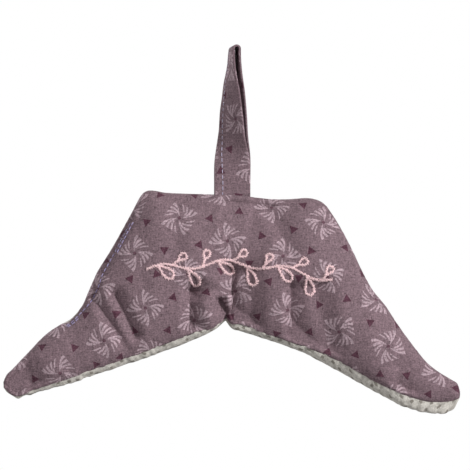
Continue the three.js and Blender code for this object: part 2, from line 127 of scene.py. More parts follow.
# Folds pressed into a panel: start across and down, end across and down, then in millimetres the reach to
# the left of the line, the reach to its right, the depth and the reach beyond its ends. A creased fold has
# a sharp bottom, and an open one runs out to the seam.
FOLD_SHARES = [
    (0.0048, 0.36, 0.0005, 0.6, 7.2, 15.5, 6.2, 3.5, "creased"),
    (-0.061, 0.484, -0.03, 0.572, 1.0, 2.0, 8.5, 1.4, "open"),
    (-0.015, 0.475, -0.0085, 0.56, 1.2, 1.6, -3, 1.6, "open"),
    (0.01, 0.02, 0.04, 0.33, 10, 19, 2.8, 5, "soft"),
    (-1.03, 0.84, -1.0, 0.92, 5, 18, 6, 6, "soft"),
    (-0.115, 0.51, -0.095, 0.61, 3.2, 2.6, -1.2, 4, "soft"),
    (-0.16, 0.385, -0.1875, 0.44, 4.5, 9.5, 3.6, 2, "creased"),
    (-0.1875, 0.44, -0.183, 0.6, 4.5, 9.5, 4.4, 3, "creased"),
    (-0.16, 0.44, -0.07, 0.44, 5.5, 6, 1.7, 4, "creased"),
    (-0.585, 0.49, -0.488, 0.656, 2.8, 2.6, 3.2, 5, "soft"),
    (-0.506, 0.464, -0.425, 0.64, 3.0, 3.6, 3.9, 3, "soft"),
    (0.152, 0.0519, 0.262, 0.253, 3.2, 5.0, 1.9, 5, "soft"),
    (0.257, 0.43, 0.26, 0.67, 4.2, 23, 6.6, 4, "creased"),
    (0.0811, 0.336, 0.103, 0.583, 3.5, 5.5, 1.5, 5, "soft"),
    (0.381, 0.436, 0.439, 0.692, 4.5, 8.0, 3.2, 5, "soft"),
    (0.735, 0.79, 0.745, 0.885, 4, 10, 3.6, 5, "soft"),
    (-0.89, 0.711, -0.767, 0.83, 5.0, 4.0, -1.2, 5, "soft"),
    (-0.263, 0.0519, -0.237, 0.482, 5.0, 6.0, 0.9, 5, "soft"),
    (0.47, 0.253, 0.531, 0.482, 4.0, 5.0, 1.0, 5, "soft"),
]
BACK_FOLD_SHARES = [
    (-0.02, 0.4, -0.012, 0.6, 4, 5, 2.4, 6, "soft"),
    (-0.1, 0.46, -0.07, 0.6, 3, 3.5, 1.5, 5, "soft"),
    (0.1, 0.44, 0.06, 0.6, 3.5, 4, 1.8, 5, "soft"),
    (0.24, 0.42, 0.29, 0.66, 4.5, 5, 1.4, 6, "soft"),
    (-0.52, 0.42, -0.4, 0.66, 4, 5, 1.8, 6, "soft"),
    (-0.68, 0.6, -0.6, 0.76, 4, 4, 1.2, 5, "soft"),
    (0.5, 0.4, 0.56, 0.7, 5, 5, 1.3, 6, "soft"),
    (0.72, 0.68, 0.76, 0.86, 4, 5, 1.2, 5, "soft"),
    (-0.3, 0.03, -0.22, 0.36, 7, 7, 0.9, 8, "soft"),
    (0.22, 0.03, 0.3, 0.34, 7, 7, 0.8, 8, "soft"),
]
CREASE_POWER = 1.25

# Distances from the seam between which folds set in, for most folds and for an open one, and how far the
# front cloth stays from the seam's plane where a fold is deep
FADE, OPEN_FADE = (0.1 * MM, 3.2 * MM), (0.1 * MM, 1.0 * MM)
FOLD_CLEAR = 0.08 * MM

# Wrinkles of the settled cloth: a bump's width, its height on the pad and its depth in millimetres, read
# from a square grid of chances
WRINKLES = ((5 * MM, 17 * MM, 0.35), (3.2 * MM, 7 * MM, 0.12))
WRINKLE_GRID = 64

# Gathers along the seams: lengths of the two sets of waves, share of the second, depths in millimetres at
# the lower seam of the front and of the back and at the upper seam, and how far they reach in and rise
GATHER_STEPS, GATHER_SECOND = (1.9 * MM, 1.1 * MM), 0.5
GATHER_FRONT, GATHER_BACK, GATHER_UPPER = 0.26, 0.42, 0.16
GATHER_LOWER_REACH, GATHER_UPPER_REACH, GATHER_RISE = 6 * MM, 4 * MM, 1 * MM

# The closing topstitch presses the cloth in, so deep and so far to its sides
PRESS_DEPTH, PRESS_REACH = 1.0 * MM, 1.1 * MM

# Points along and across a panel, as it settles and as it is finished
COARSE, FINE = (136, 40), (440, 100)

# Simulation: how much larger the cloth is there, its steps, how much wider it is cut in each direction, the
# furthest that a point may move, and the cloth's settings
SIM_SCALE, SIM_FRAMES, SIM_STRETCH = 10, 26, 0.045
SIM_WIDER = (1 + SIM_STRETCH, 1, 1 + SIM_STRETCH / 4)
SIM_REACH = 4 * MM
SIM_CLOTH = {
    "quality": 6, "mass": 0.25, "tension_stiffness": 60, "compression_stiffness": 60, "shear_stiffness": 12,
    "bending_stiffness": 0.6, "air_damping": 4, "use_pressure": True, "uniform_pressure_force": 2.0,
}

# Turned-in allowance: its greatest share of a rib, its rows, and its lean off the seam and with the roll
FLAP_LIMIT, FLAP_SHARES = 0.35, (0.06, 0.5, 1)
FLAP_LEAN, FLAP_ROLL = 0.05 * MM, 0.85

# Filling: width of the pad from which it is filled, which part of the width, and how many ribs and points it
# has, then how far inside the cloth it stays, how lumpy it is and half its least thickness
FILLING_FROM, FILLING_SHARES, FILLING_RIBS, FILLING_POINTS = 21 * MM, (0.16, 0.84), 110, 26
FILLING_INSET, FILLING_LUMP, FILLING_LEAST = 1.5 * MM, 0.5 * MM, 0.2 * MM

# Turn of the tape about the vertical as shares of a quarter turn, in even steps from the seam to the eye
TWIST_SHARES = [0, 0.12, 0.41, 0.52, 0.645, 0.82, 0.93]

# Section of the tape: where the lips' faces end on the left, roundness of its right edge with how full and
# how far round it is, and the lips' edges in millimetres from the left and as shares of half the thickness
TAPE_LIP, TAPE_ROUND, TAPE_FULL, TAPE_TURN = 0.5 * MM, 0.6 * MM, 1.06, (0.4, 2.74)
LIP_SECTION = [(0.05, -0.9), (-0.05, -0.5), (0.12, -0.12), (0.45, 0), (0.3, 0.12), (0.2, 0.5), (0.28, 0.88)]

# Groove under the tape's stitches: width, depth as a share of half the thickness, and how much shallower it
# is under a stitch's middle. The lips ripple beside it. Then the place of the print, and the points along
# the tape and along the line of its stitches.
GROOVE_WIDE, GROOVE_DEPTH, GROOVE_PUFF = 0.9 * MM, 0.42, 0.2
RIPPLE_DEPTH, RIPPLE_STEP, RIPPLE_REACH = 0.12 * MM, 2.1 * MM, 4 * MM
TAPE_PRINT = (0.004, 0.068)
TAPE_POINTS, TAPE_STITCH_POINTS = 340, 1200

# Stitches: points of one, flatness, sides of a thread and how it thins to its ends. In each row: how deep a
# stitch sinks, how high it lies as a share of its thread, over what share of its length it rises, the gap to
# the next as a share of the pitch, and how far it strays.
STITCH_POINTS, STITCH_FLAT, THREAD_SIDES, THREAD_THINNING = 9, 0.8, 6, (8, 0.35)
CLOSING_LIFT, CLOSING_GAP, CLOSING_WANDER = (0.25 * MM, 0.45, 0.22), 0.22, 0.12 * MM
TAPE_LIFT, TAPE_GAP, TAPE_WANDER = (0.3 * MM, 0.4, 0.25), 0.2, 0.1 * MM

# The tape's stitches lie in its groove, at this share of half its thickness
GROOVE_FLOOR = 0.72

# Seam inside the edge: its thread, inset with its greatest share of a rib, sag and the points of a stitch.
# Then the ribs that the lines of the closing row and of the seam are taken from.
SEAM_THREAD, SEAM_INSET, SEAM_LIMIT, SEAM_SAG, SEAM_POINTS = 0.28 * MM, 1.0 * MM, 0.3, 0.12 * MM, 6
CLOSING_RIBS, SEAM_RIBS = 600, 700

# Distance of the closing topstitch from the edge as shares of its inset, from the lower to the upper end
CLOSING_SHARES = [0.5, 0.42, 0.45, 0.75, 1.1, 1.2, 0.95, 0.85, 0.75, 0.66, 0.62, 0.6]

# Parts of that row that are sewn twice, how far beside it, and with how much of the stitch length
DOUBLED_SHARES, DOUBLED_OFFSET, DOUBLED_PITCH = ((0.74, 1), (0, 0.17)), (0.8 * MM, -0.38 * MM), 0.9

# Line of the embroidered band, across and down, and the turning gap in the upper left edge, across
BAND_SHARES = [(-0.37, 0.34), (0.04, 0.315), (0.44, 0.385)]
GAP_SHARES = (-0.74, -0.45)

# Sprig: height of the stem's waves, angle of its leaves, and the points of the stem, a stalk and a leaf
STEM_WAVE, LEAF_ANGLE = 1.6 * MM, math.radians(52)
STEM_POINTS, STALK_POINTS, LEAF_POINTS = 260, 14, 50

# Satin strands: their distance as a share of their thickness, points of one, the slant and its unevenness of
# even and of odd ones, how deep they sink, how high they rise in millimetres and how unevenly
SATIN_PITCH, SATIN_POINTS, SATIN_SLANTS = 0.86, 7, ((-0.3, 1.6), (0.8, 2.2))
SATIN_SINK, SATIN_RISE, SATIN_UNEVEN = 0.12 * MM, 0.22, 0.16

# Nonwoven behind the sprig: thickness, distance behind the cloth, where beside a point the cloth is felt for
# folds, half its height as a share of a leaf, and its points along and across
BACKING_THICK, BACKING_BEHIND, BACKING_BESIDE = 0.25 * MM, 0.75 * MM, (-1.4, -0.7, 0, 0.7, 1.4)
BACKING_HALF, BACKING_POINTS = 1.05, (90, 24)

# Print of the front cotton in millimetres: place and tilt of its lattice, distance of two pinwheels, and
# where pinwheels and triangles stand in a cell and how far they stray
PRINT_PLACE, PRINT_TILT, PRINT_SPACING = (17, -9, 0), math.radians(21), 23.5
WHIRL_SITES, WHIRL_JITTER = ((0.0, 0.0), (0.5, 0.5)), 2.4
TRIANGLE_SITES, TRIANGLE_JITTER = ((0.5, 0.167), (0.5, -0.167), (0.0, 0.667), (0.0, 0.333)), 3.4

# A pinwheel: half its side, its blades, how they turn with the distance, and the edge of its dark dot. A
# stroke: how many there are, their bend and its power, place and step across the blade, half width, loss of
# width from one to the next, and how much further out each starts.
WHIRL_HALF, WHIRL_BLADES, WHIRL_TURN, WHIRL_DOT = 6.35, 4, (0.0436, 1.126), (0.95, 0.55)
WHIRL_STROKES, STROKE_BEND, STROKE_CURVE = 4, 4.4, 2.4
STROKE_FIRST, STROKE_STEP, STROKE_WIDE, STROKE_THINNER, STROKE_START = 4.7, 2.35, 0.67, 0.07, 0.85
TRIANGLE_SIDE = 4.0

# Weave of the two cottons: pitch in millimetres, how far its thick threads lighten the cloth, how far the
# weave's relief is painted into its colour as painted shade (crossings lighter, gaps between threads darker),
# what is added to both, and relief in metres. Then the stretch of thick threads along warp and weft, and how
# fully the print's strokes, dots and triangles cover the ground.
PRINT_WEAVE, PALE_WEAVE = (0.36, (2.3, 0.1, -1.3), 0.00006), (0.42, (0.9, 0.08, 0.1), 0.00007)
SLUBS = ((1.3, 0.32, 1), (0.36, 1.3, 1))
STROKE_INK, DOT_INK, TRIANGLE_INK = 0.85, 0.7, 0.9

# Specks of the back cotton in millimetres: their lattice, how far they stray, their edge and its raggedness
SPECK_CELL, SPECK_JITTER, SPECK_EDGE, SPECK_RAGGED = (6.2, 7.4), 2.6, (1.85, 2.4), 2.2

# Dried blossoms among the leaves, and what the floor throws back up, as linear colours
BLOSSOM, FLOOR_BOUNCE = (0.16, 0.12, 0.21), (0.35, 0.35, 0.35)

# Lamps: name, direction, softness in degrees and strength
LAMPS = (
    ("key", (0.74, -0.62, 0.36), 6, 3.3), ("fill", (-0.9, -0.4, 0.12), 50, 1.0),
    ("back", (-0.4, 0.8, 0.5), 30, 2.0),
)

# Strength of the light from all round, and half the side of the floor
AMBIENT = 0.26
FLOOR_REACH = 4.5

# How far outside the cloth a search for it starts, and the numbers that make hashed numbers look random
RAY_START = 0.2
HASH_FACTORS, HASH_SCALE = (12.9898, 78.233, 37.719), 43758.5453


def length(name, description, default):
    default *= MM
    return FloatProperty(name=name, description=description, default=default, unit="LENGTH", precision=5)


def colour(name, description, red, green, blue):
    """A colour written as it looks on a screen, 0 to 255, and kept as the linear value that shaders take."""
    linear = [((c / 255 + 0.055) / 1.055) ** 2.4 for c in (red, green, blue)]
    return FloatVectorProperty(name=name, description=description, size=3, subtype="COLOR", default=linear)


class PadSizes(bpy.types.PropertyGroup):
    span: length("Span", "Width of the pad from tip to tip", 200)
    height: length("Height", "Height of the pad", 96.5)
    drop: length("Loop drop", "From the hanging point down to the pad's top edge", 64)
    shift: length("Shift", "Middle of the pad beside the hanging point", -1.4)
    cloth: length("Cloth", "Thickness of the panels' cloth", 0.45)
    front_crown: length("Front crown", "How far the front panel swells", 10.5)
    back_crown: length("Back crown", "How far the back panel swells", 11.5)
    back_flat: length("Back flat", "Depth at which the back lies flat", 9.8)
    crown_reach: length("Crown reach", "Width at which the pad nears its full thickness", 28)
    allowance: length("Seam allowance", "Cloth turned in at the seam", 6)
    roll: length("Seam roll", "How far the lower seam is rolled to the front", 4.5)
    strip: length("Strip", "Greatest width of the back cloth that shows in front", 6)


class LoopSizes(bpy.types.PropertyGroup):
    width: length("Tape width", "Width of the folded tape", 16)
    thick: length("Tape thickness", "Four layers of cloth", 1.0)
    curl: length("Curl", "How far the tape's stitched edge curls back", 1.1)
    eye: length("Eye radius", "Inner radius of the bend at the top", 0.9)
    ply_gap: length("Ply gap", "Half the gap between the two plies at the seam", 0.45)
    stitch_inset: length("Stitch inset", "Topstitch from the tape's stitched edge at the seam", 3.8)
    eye_inset: length("Stitch inset at eye", "Topstitch from the tape's stitched edge at the eye", 3.1)


class StitchSizes(bpy.types.PropertyGroup):
    pitch: length("Stitch length", "Length of one lockstitch", 2.5)
    thread: length("Thread", "Thickness of the topstitch thread", 0.32)
    closing_thread: length("Closing thread", "Thickness of the closing topstitch thread", 0.44)
    closing_inset: length("Closing inset", "Closing topstitch from the pad's edge", 2.6)
    satin: length("Satin thread", "Thickness of one strand of the satin stitch", 0.38)
    stem: length("Line width", "Width of the embroidered lines", 1.15)
    leaf: length("Leaf length", "Length of an embroidered leaf", 8.6)
    leaf_width: length("Leaf width", "Width of an embroidered leaf", 4.4)
    bud: length("Bud length", "Length of an embroidered bud", 4.4)
    bud_width: length("Bud width", "Width of an embroidered bud", 3.4)
    stalk: length("Stalk length", "Length of a bud's stalk", 3.0)
    pairs: IntProperty(
        name="Sprig pairs", description="Pairs of a leaf and a bud along the stem", default=6, min=1)


class ClothColours(bpy.types.PropertyGroup):
    ground: colour("Mauve ground", "Ground of the printed cotton", 128, 107, 114)
    whirl: colour("Whirl", "Pale strokes of the printed whirls", 182, 160, 168)
    plum: colour("Plum", "Printed triangles and the whirls' middles", 84, 50, 64)
    pale: colour("Pale cotton", "Ground of the back panel", 218, 213, 205)
    speck: colour("Speck", "Small print on the back panel", 122, 115, 106)
    satin: colour("Pink satin", "Embroidery thread", 246, 211, 214)
    lavender: colour("Lavender thread", "Topstitch of the tape", 196, 188, 214)
    violet: colour("Violet thread", "Closing topstitch", 150, 136, 180)
    seam: colour("Seam thread", "Thread inside the seam", 109, 90, 98)
    herb: colour("Dried herb", "Dried leaves and blossoms", 138, 133, 99)
    backing: colour("Backing", "Nonwoven behind the embroidery", 242, 240, 236)


class StageSettings(bpy.types.PropertyGroup):
    scale: FloatProperty(
        name="Picture scale", description="Millimetres that one picture pixel spans", default=0.4415)
    pixels: IntProperty(
        name="Picture width", description="Width and height of the picture in pixels", default=470)
    hang_x: FloatProperty(
        name="Hanging point across", description="Pixel column of the hanging point", default=234.8)
    hang_y: FloatProperty(
        name="Hanging point down", description="Pixel row of the hanging point", default=49.7)
    distance: length("Camera distance", "From the camera to the pad", 1300)
    floor_drop: length("Floor", "Floor below the hanging point", 620)
    floor: colour("Floor", "Plain pale floor", 236, 235, 232)


# Small geometry tools

def lerp(a, b, t):
    return a + (b - a) * t


def smoothstep(low, high, x):
    t = np.clip((x - low) / (high - low), 0, 1)
    return t * t * (3 - 2 * t)


def spline(rows, at):
    """A smooth curve through rows at whole numbers 0, 1, 2 and so on, read at the places in at."""
    rows = np.asarray(rows, float)
    last = len(rows) - 1
    at = np.clip(at, 0, last)
    i = np.minimum(np.floor(at).astype(int), last - 1)
    t = (at - i)[(...,) + (None,) * (rows.ndim - 1)]
    before, start = rows[np.maximum(i - 1, 0)], rows[i]
    end, after = rows[i + 1], rows[np.minimum(i + 2, last)]
    return 0.5 * (
        2 * start + (end - before) * t + (2 * before - 5 * start + 4 * end - after) * t**2
        + (3 * (start - end) + after - before) * t**3
    )


def run_of(line):
    """Distance of each point of a line from its start, along the line."""
    return np.concatenate([[0], np.cumsum(np.linalg.norm(np.diff(line, axis=0), axis=1))])


def read(rows, along, at):
    """Rows read at the distances at, where along holds the rows' own distances."""
    return np.stack([np.interp(at, along, column) for column in rows.T], axis=-1)


def unit(rows):
    """Rows scaled to length 1."""
    return rows / np.maximum(np.linalg.norm(rows, axis=-1, keepdims=True), 1e-12)


def evenly(points, count):
    """Places along a row of points, in its own index, that are evenly spaced by distance."""
    along = run_of(points)
    return np.interp(np.linspace(0, along[-1], count), along, np.arange(len(points)))


def hashed(*numbers):
    """A number from 0 to 1 that looks random but is the same for the same numbers."""
    value = math.sin(sum(n * k for n, k in zip(numbers, HASH_FACTORS))) * HASH_SCALE
    return value - math.floor(value)


def away_from(face, line):
    """Distance of each point of a panel from the nearest point of a line, both as seen from the front."""
    away = [np.hypot(*(row[:, None, ::2] - line[None]).transpose(2, 0, 1)).min(axis=1) for row in face]
    return np.array(away)


def grid_faces(rows, columns):
    """Quads of a grid of points, as rows of point numbers."""
    a = np.arange(rows - 1)[:, None] * columns + np.arange(columns - 1)[None, :]
    return np.stack([a, a + 1, a + columns + 1, a + columns], axis=-1).reshape(-1, 4)


def ring_faces(rows, ring, start=0):
    """Faces of a closed tube, as rows of point numbers: rings side by side and a cap on both ends."""
    faces = []
    for row in range(rows - 1):
        for k in range(ring):
            a, b = start + row * ring + k, start + row * ring + (k + 1) % ring
            faces.append((a, a + ring, b + ring, b))
    last = start + (rows - 1) * ring
    return [*faces, tuple(range(start, start + ring)), tuple(range(last + ring - 1, last - 1, -1))]


def link_mesh(name, points, faces, uvs=None, material=None, smooth=True):
    mesh = bpy.data.meshes.new(name)
    mesh.from_pydata([tuple(p) for p in points], [], [tuple(int(i) for i in f) for f in faces])
    mesh.update()
    if uvs is not None:
        layer = mesh.uv_layers.new(name="cloth")
        corner = np.zeros(len(mesh.loops), int)
        mesh.loops.foreach_get("vertex_index", corner)
        layer.data.foreach_set("uv", np.asarray(uvs, np.float32)[corner].ravel())
    mesh.polygons.foreach_set("use_smooth", [smooth] * len(mesh.polygons))
    piece = bpy.data.objects.new(name, mesh)
    bpy.context.scene.collection.objects.link(piece)
    if material:
        mesh.materials.append(material)
    return piece


def face_outward(piece, weld=False):
    """Turns a closed mesh's faces outward, once its doubled edge is joined where weld says so."""
    shape = bmesh.new()
    shape.from_mesh(piece.data)
    if weld:
        bmesh.ops.remove_doubles(shape, verts=shape.verts, dist=1e-7)
        bmesh.ops.holes_fill(shape, edges=shape.edges)
    bmesh.ops.recalc_face_normals(shape, faces=shape.faces)
    shape.to_mesh(piece.data)
    shape.free()


def thicken(piece, thickness):
    """Gives a sheet its thickness, behind the face that it has."""
    solid = piece.modifiers.new("Thickness", "SOLIDIFY")
    solid.thickness, solid.offset = thickness, -1
    made = bpy.data.meshes.new_from_object(piece.evaluated_get(bpy.context.evaluated_depsgraph_get()))
    piece.modifiers.clear()
    old, piece.data = piece.data, made
    bpy.data.meshes.remove(old)


class Strands:
    """Many short threads gathered into one mesh."""

    def __init__(self):
        self.points, self.faces, self.uvs = [], [], []

    def add(self, path, radius, flat=1.0, up=(0, -1, 0)):
        """A thread along path, thinned toward its ends and flattened by flat in the direction up."""
        path = np.asarray(path, float)
        count = len(path)
        tangent = unit(np.gradient(path, axis=0))
        across = unit(np.cross(tangent, np.asarray(up, float)))
        rise = np.cross(across, tangent)
        share = np.linspace(0, 1, count)
        thinning, thinnest = THREAD_THINNING
        size = radius * np.clip(np.minimum(share, 1 - share) * thinning, thinnest, 1) ** 0.5
        turn = np.linspace(0, 2 * np.pi, THREAD_SIDES, endpoint=False)
        ring = (
            path[:, None] + across[:, None] * (np.cos(turn)[None, :, None] * size[:, None, None])
            + rise[:, None] * (np.sin(turn)[None, :, None] * size[:, None, None] * flat)
        )
        self.faces += ring_faces(count, THREAD_SIDES, sum(len(p) for p in self.points))
        self.points.append(ring.reshape(-1, 3))
        around = np.tile(turn / (2 * np.pi), count)
        self.uvs.append(np.stack([around, np.repeat(share, THREAD_SIDES) + len(self.points)], axis=1))

    def piece(self, name, material):
        return link_mesh(name, np.concatenate(self.points), self.faces, np.concatenate(self.uvs), material)


# The pad's shape

class Pad:
    """The pad's ribs at count places between its tips, from the sizes that the panel holds."""

    def __init__(self, size, loop, count):
        rows = np.array(RIB_SHARES, float)
        tips = []
        for row, outward in ((rows[0], -1), (rows[-1], 1)):
            middle = np.tile(row[:4].reshape(2, 2).mean(axis=0), 2)
            tip = np.array([*lerp(row[:4], middle, TIP_LEAN), 0])
            tip[[0, 2]] += outward * TIP_REACH
            tips.append(tip)
        rows = np.vstack([tips[0], rows, tips[1]])
        last = len(rows) - 1
        fine = spline(rows[:, :2] + rows[:, 2:4], np.linspace(0, last, CURVE_POINTS))
        at = evenly(fine, count) * last / (CURVE_POINTS - 1)
        whole = np.minimum(np.floor(at).astype(int), last - 1)
        straight = lerp(rows[whole], rows[whole + 1], (at - whole)[:, None])
        from_notch = at - NOTCH_RIB - 1
        shares = lerp(spline(rows, at), straight, np.exp(-(from_notch / NOTCH_SHARP) ** 2)[:, None])
        self.size, self.count = size, count
        self.upper = self.place(shares[:, 0], shares[:, 1])
        along = self.place(shares[:, 2], shares[:, 3]) - self.upper
        reach = np.linalg.norm(along, axis=1)
        self.along = along / reach[:, None]
        self.bulge = np.minimum(shares[:, 4] * size.strip, reach * STRIP_LIMIT)
        self.length = reach - self.bulge
        closing = np.clip(np.minimum(at, last - at), 0, 1)
        self.fullness = (1 - np.exp(-self.length / size.crown_reach)) * closing
        drawn_in = 1 - NOTCH_FLAT * np.exp(-from_notch**2)
        self.roll = size.roll * smoothstep(*ROLL_WIDTHS, self.length) * drawn_in
        beside = np.abs(self.upper[:, 0] - (size.shift + TAPE_SHIFT)) - loop.width / 2 - TAPE_CLEAR
        self.half_gap = lerp(loop.ply_gap + loop.thick, SEAM_GAP, smoothstep(0, TAPE_EASE, beside))

    def place(self, across, down):
        x = self.size.shift + np.asarray(across) * self.size.span / 2
        return np.stack([x, -self.size.drop - np.asarray(down) * self.size.height], axis=-1)

    def at(self, q, y):
        """Points at distance q along each rib and at depth y, both given per rib and place."""
        flat = self.upper[:, None] + self.along[:, None] * q[..., None]
        return np.stack([flat[..., 0], y, flat[..., 1]], axis=-1)

    def front(self, shares):
        v = np.asarray(shares)[None, :]
        crown, flatness, fullness = SWELL
        swell = (1 - np.abs(2 * v**crown - 1) ** flatness) ** fullness
        seam = lerp(-self.half_gap[:, None], -self.roll[:, None] - SEAM_GAP, v)
        depth = self.size.front_crown * self.fullness[:, None] * swell
        return self.at(self.length[:, None] * v, seam - depth)

    def back(self, shares):
        shares = np.asarray(shares)
        across, beyond, out = spline(BACK_SECTION_SHARES, shares * (len(BACK_SECTION_SHARES) - 1)).T
        foot = np.where(shares[None, :] > 0.5, -self.roll[:, None] + SEAM_GAP, self.half_gap[:, None])
        depth = self.size.back_crown * self.fullness + BACK_LEAST
        y = lerp(foot, depth[:, None], out[None, :])
        y = np.minimum(y, self.size.back_flat + (y - self.size.back_flat) * BACK_GIVE)
        return self.at(across[None, :] * self.length[:, None] + beyond[None, :] * self.bulge[:, None], y)


def pad_of(scene, count=300):
    return Pad(scene.sachet_pad, scene.sachet_loop, count)


def cut_of(points):
    """Flat cloth coordinates of a panel: each rib is laid out to its real length from its middle."""
    along = np.array([run_of(rib) for rib in points])
    reach = unit(points[:, -1, ::2] - points[:, 0, ::2])
    middle = (points[:, -1, ::2] + points[:, 0, ::2]) / 2
    return middle[:, None] + reach[:, None] * (along - along[:, -1:] / 2)[..., None]


def fold_depth(pad, points, folds, from_seam):
    """How far the folds press a panel in at each of its points, in metres."""
    x, z = points[..., 0], points[..., 2]
    depth = np.zeros(x.shape)
    for start_x, start_down, end_x, end_down, left, right, deep, beyond, kind in folds:
        start, end = pad.place(start_x, start_down), pad.place(end_x, end_down)
        reach = np.linalg.norm(end - start)
        run_x, run_z = (end - start) / reach
        along = (x - start[0]) * run_x + (z - start[1]) * run_z
        aside = (z - start[1]) * run_x - (x - start[0]) * run_z
        past = np.maximum(np.maximum(-along, along - reach), 0)
        across = np.abs(aside) / (np.where(aside < 0, left, right) * MM)
        profile = np.maximum(1 - across, 0) ** CREASE_POWER if kind == "creased" else np.exp(-across**2)
        fade = smoothstep(*(OPEN_FADE if kind == "open" else FADE), from_seam)
        depth += deep * MM * profile * fade * np.exp(-(past / (beyond * MM)) ** 2)
    return depth


# Simulation

def wrinkles(x, z, wide, tall, seed):
    """Smooth seeded unevenness from -1 to 1, with bumps about wide across and tall down."""
    values = np.random.default_rng(seed).uniform(-1, 1, (WRINKLE_GRID, WRINKLE_GRID))
    last = WRINKLE_GRID - 1
    across = spline(values, np.clip(x / wide + WRINKLE_GRID / 2, 0, last))
    down = np.clip(z / tall + WRINKLE_GRID * 3 / 4, 0, last)
    row = np.minimum(np.floor(down).astype(int), last - 1)
    first, second = (np.take_along_axis(across, n[..., None], axis=-1)[..., 0] for n in (row, row + 1))
    return lerp(first, second, smoothstep(0, 1, down - row))


def ripples(along, wide, seed):
    """Smooth seeded unevenness from -1 to 1 along a line, with bumps about wide apart."""
    values = np.random.default_rng(seed).uniform(-1, 1, int(along.max() / wide) + 4)
    return spline(values, along / wide + 1)


def settle(points):
    """Settles a sheet that is pinned round its edge and cut wider than its place, so that it puckers."""
    rows, columns = points.shape[:2]
    place = points.reshape(-1, 3) * SIM_SCALE
    piece = link_mesh("cloth_to_settle", place, grid_faces(rows, columns))
    piece.shape_key_add(name="Basis")
    cut = piece.shape_key_add(name="cut")
    cut.data.foreach_set("co", (place * np.array(SIM_WIDER)).ravel())
    edge = np.zeros((rows, columns), bool)
    edge[[0, 1, -2, -1]] = edge[:, [0, -1]] = True
    group = piece.vertex_groups.new(name="pinned")
    group.add([int(i) for i in np.flatnonzero(edge.ravel())], 1, "REPLACE")
    cloth = piece.modifiers.new("Cloth", "CLOTH")
    for name, value in SIM_CLOTH.items():
        setattr(cloth.settings, name, value)
    cloth.settings.vertex_group_mass = "pinned"
    cloth.settings.rest_shape_key = cut
    cloth.settings.effector_weights.gravity = 0
    cloth.collision_settings.use_collision = False
    cloth.point_cache.frame_start, cloth.point_cache.frame_end = 1, SIM_FRAMES
    for step in range(1, SIM_FRAMES + 1):
        bpy.context.scene.frame_set(step)
    made = piece.evaluated_get(bpy.context.evaluated_depsgraph_get()).to_mesh()
    settled = np.zeros(rows * columns * 3)
    made.vertices.foreach_get("co", settled)
    bpy.context.scene.frame_set(1)
    mesh = piece.data
    bpy.data.objects.remove(piece)
    bpy.data.meshes.remove(mesh)
    return settled.reshape(rows, columns, 3) / SIM_SCALE


def finer(points, rows, columns):
    """The same sheet with more points."""
    down = spline(points, np.linspace(0, len(points) - 1, rows))
    across = spline(down.transpose(1, 0, 2), np.linspace(0, down.shape[1] - 1, columns))
    return across.transpose(1, 0, 2)


def settled_panel(scene, side):
    """Outer face of a panel after the cloth has settled: side -1 is the front, 1 the back."""
    rough = pad_of(scene, COARSE[0])
    if side < 0:
        start = rough.front((1 - np.cos(np.linspace(0, np.pi, COARSE[1]))) / 2)
    else:
        start = rough.back(np.linspace(0, 1, COARSE[1]))
    settled = start
    # The back settles with its columns in reverse, so that its faces look outward too
    moved = settle(start[:, ::-side])[:, ::-side] - start
    far = np.linalg.norm(moved, axis=2, keepdims=True)
    settled = start + moved * np.minimum(1, SIM_REACH / np.maximum(far, 1e-9))
    return finer(settled, *FINE), cut_of(finer(start, *FINE))


def closed_panel(pad, face, flat, name, side, material):
    """A panel from its outer face: the allowances are turned in and the cloth gets its thickness."""
    flap = np.minimum(pad.size.allowance, pad.length * FLAP_LIMIT)
    turned, turned_flat = [], []
    for end, sign in ((0, 1), (-1, -1)):
        lean = side * FLAP_LEAN + (pad.roll * FLAP_ROLL if sign < 0 else 0 * pad.roll)
        rows, flats = [], []
        for share in FLAP_SHARES:
            step = pad.along * sign * (flap * share)[:, None]
            rows.append(face[:, end] + np.stack([step[:, 0], lean * share, step[:, 1]], axis=1))
            flats.append(flat[:, end] - step)
        turned.append(rows)
        turned_flat.append(flats)
    points = np.stack([*turned[0][::-1], *face.transpose(1, 0, 2), *turned[1]], axis=1)
    uvs = np.stack([*turned_flat[0][::-1], *flat.transpose(1, 0, 2), *turned_flat[1]], axis=1)
    faces = grid_faces(*points.shape[:2])
    if side < 0:
        faces = faces[:, ::-1]
    piece = link_mesh(name, points.reshape(-1, 3), faces, uvs.reshape(-1, 2), material)
    thicken(piece, pad.size.cloth)
    return piece


def tree_of(name):
    """The named piece's surface, to find points on."""
    return BVHTree.FromObject(bpy.data.objects[name], bpy.context.evaluated_depsgraph_get())


def on_cloth(tree, x, z, side, lift):
    """The point of a panel's outer face at x and z, lifted off it along its normal: side -1 is the front."""
    hit = tree.ray_cast(Vector((x, side * RAY_START, z)), Vector((0, -side, 0)))
    if hit[0] is None:
        raise RuntimeError(f"no cloth at {x:.4f}, {z:.4f}")
    normal = hit[1] if hit[1].y * side > 0 else -hit[1]
    return np.array(hit[0] + normal * lift)


# Materials

class Value:
    """A number that a node gives out. Arithmetic on it adds the math nodes that work it out."""

    def __init__(self, weaver, socket):
        self.weaver, self.socket = weaver, socket

    def math(self, operation, *others):
        return self.weaver.math(operation, self, *others)

    def __add__(self, other):
        return self.math("ADD", other)

    def __sub__(self, other):
        return self.math("SUBTRACT", other)

    def __rsub__(self, other):
        return self.weaver.math("SUBTRACT", other, self)

    def __mul__(self, other):
        return self.math("MULTIPLY", other)

    def __truediv__(self, other):
        return self.math("DIVIDE", other)


